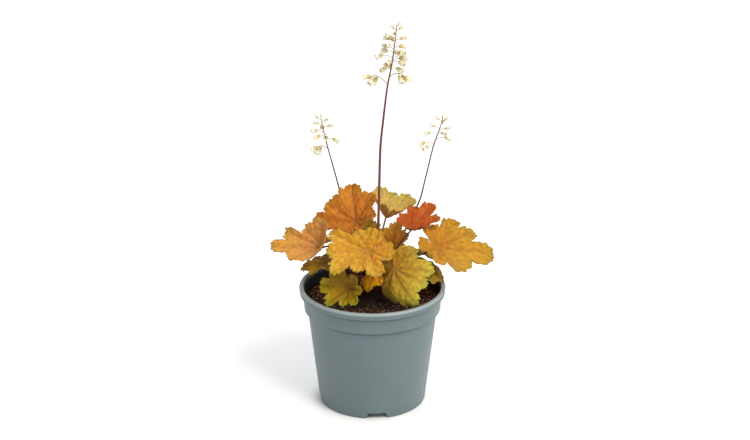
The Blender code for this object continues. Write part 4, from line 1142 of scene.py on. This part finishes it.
# %% Cream sepals
DOWN_MM = 1.2
sepal, tree, shader, place = new_material("cream sepals")
tone = add(tree, "ShaderNodeAttribute", attribute_name="tone").outputs["Fac"]
down = add(tree, "ShaderNodeTexNoise", {
    "Vector": place, "Scale": 1 / (DOWN_MM * MM), "Detail": 2.0,
}).outputs["Fac"]
painted = layered(tree, "#bcb06c", "#faf3da", tone)
painted = layered(tree, painted, "#c8a860", down, 0.45, 0.75, most=0.3)
painted = layered(tree, painted, "#6e4630", tone, 1.2, 1.8)
wire(tree, shader, {
    "Base Color": painted, "Roughness": 0.55, "IOR": 1.4,
    "Subsurface Weight": 0.3, "Subsurface Scale": 1.5 * MM,
})

# %% Build the sprays
def along(route, height):
    """The point of a stalk's route at a height."""
    for a, b in zip(route, route[1:]):
        if a[2] <= height <= b[2]:
            return Vector(a).lerp(Vector(b), (height - a[2]) / (b[2] - a[2]))
    return Vector(route[-1])


def pointed(azimuth, climb=0.0):
    """The direction of an azimuth in degrees, raised or lowered by climb."""
    return Vector(round_axis(1, math.radians(azimuth), climb))


def smooth_route(route):
    """The route with a point halfway along each stretch, on a curve through the given ones."""
    points = [Vector(p) for p in route]
    full = [points[0]]
    for i in range(1, len(points)):
        a, b = points[i - 1], points[i]
        before, after = points[max(0, i - 2)], points[min(len(points) - 1, i + 1)]
        if i > 1:
            full.append((a + b) * 9 / 16 - (before + after) / 16)
        full.append(b)
    return full


for spray in SPRAYS:
    route = smooth_route(smooth_route(spray.route))
    last = len(route) - 1
    foot, tip = spray.radii
    paths = [[(p, foot + (tip - foot) * i / last, i / last) for i, p in enumerate(route)]]
    hung = []
    lowest = min(height for height, reach, azimuth in spray.florets)
    highest = spray.route[-1][2]
    for height, reach, azimuth in spray.florets:
        up = (height - lowest) / (highest - lowest)
        start = along(spray.route, height)
        base = start + pointed(azimuth, PEDICEL_RISE + PEDICEL_RISE_UP * up) * reach
        heading = pointed(azimuth, BUD_LIFT * up ** 2 - BELL_DROOP).normalized()
        middle = (start + base) / 2 + Vector((0, 0, PEDICEL_BOW * reach))
        end = base + heading * PEDICEL_INTO_BELL
        paths.append([(p, PEDICEL_RADIUS, tone) for p, tone in zip((start, middle, end), PEDICEL_TONES)])
        hung.append((base, heading, spray.bell * (1 + BELL_SWELL * (1 - up)) - BUD_SHRINK * up ** 2))
    for arm in spray.arms:
        start = along(spray.route, arm.height)
        bow = []
        for i in range(ARM_STEPS + 1):
            t = i / ARM_STEPS
            lift = arm.rise * math.sin(math.pi * arm.sweep * t)
            bow.append(start + pointed(arm.azimuth) * arm.reach * t + Vector((0, 0, lift)))
        paths.append([(p, ARM_RADIUS, ARM_TONE) for p in bow])
        for t, spread, drop, length in ARM_BELLS:
            heading = pointed(arm.azimuth + spread, drop - arm.droop).normalized()
            knot = bow[round(t * ARM_STEPS)]
            base = knot + heading * length
            end = base + heading * PEDICEL_INTO_BELL
            ends = zip((knot, end), (PEDICEL_TONES[0], PEDICEL_TONES[-1]))
            paths.append([(p, PEDICEL_RADIUS, tone) for p, tone in ends])
            hung.append((base, heading, spray.bell * (1 + BELL_SWELL)))
    sweep(spray.name, paths)
    places, aims, fits = zip(*hung)
    bells = new_object(spray.name + "_bells", [p * MM for p in places], [])
    paint(bells, "aim", aims, "FLOAT_VECTOR")
    paint(bells, "fit", fits)
    run_tree(bells, hang, {"Bell": bell, "Finish": sepal})
    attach(bells, "root")
    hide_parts(spray.name)
    print(spray.name, len(places), "bells")
bpy.data.objects.remove(bell)
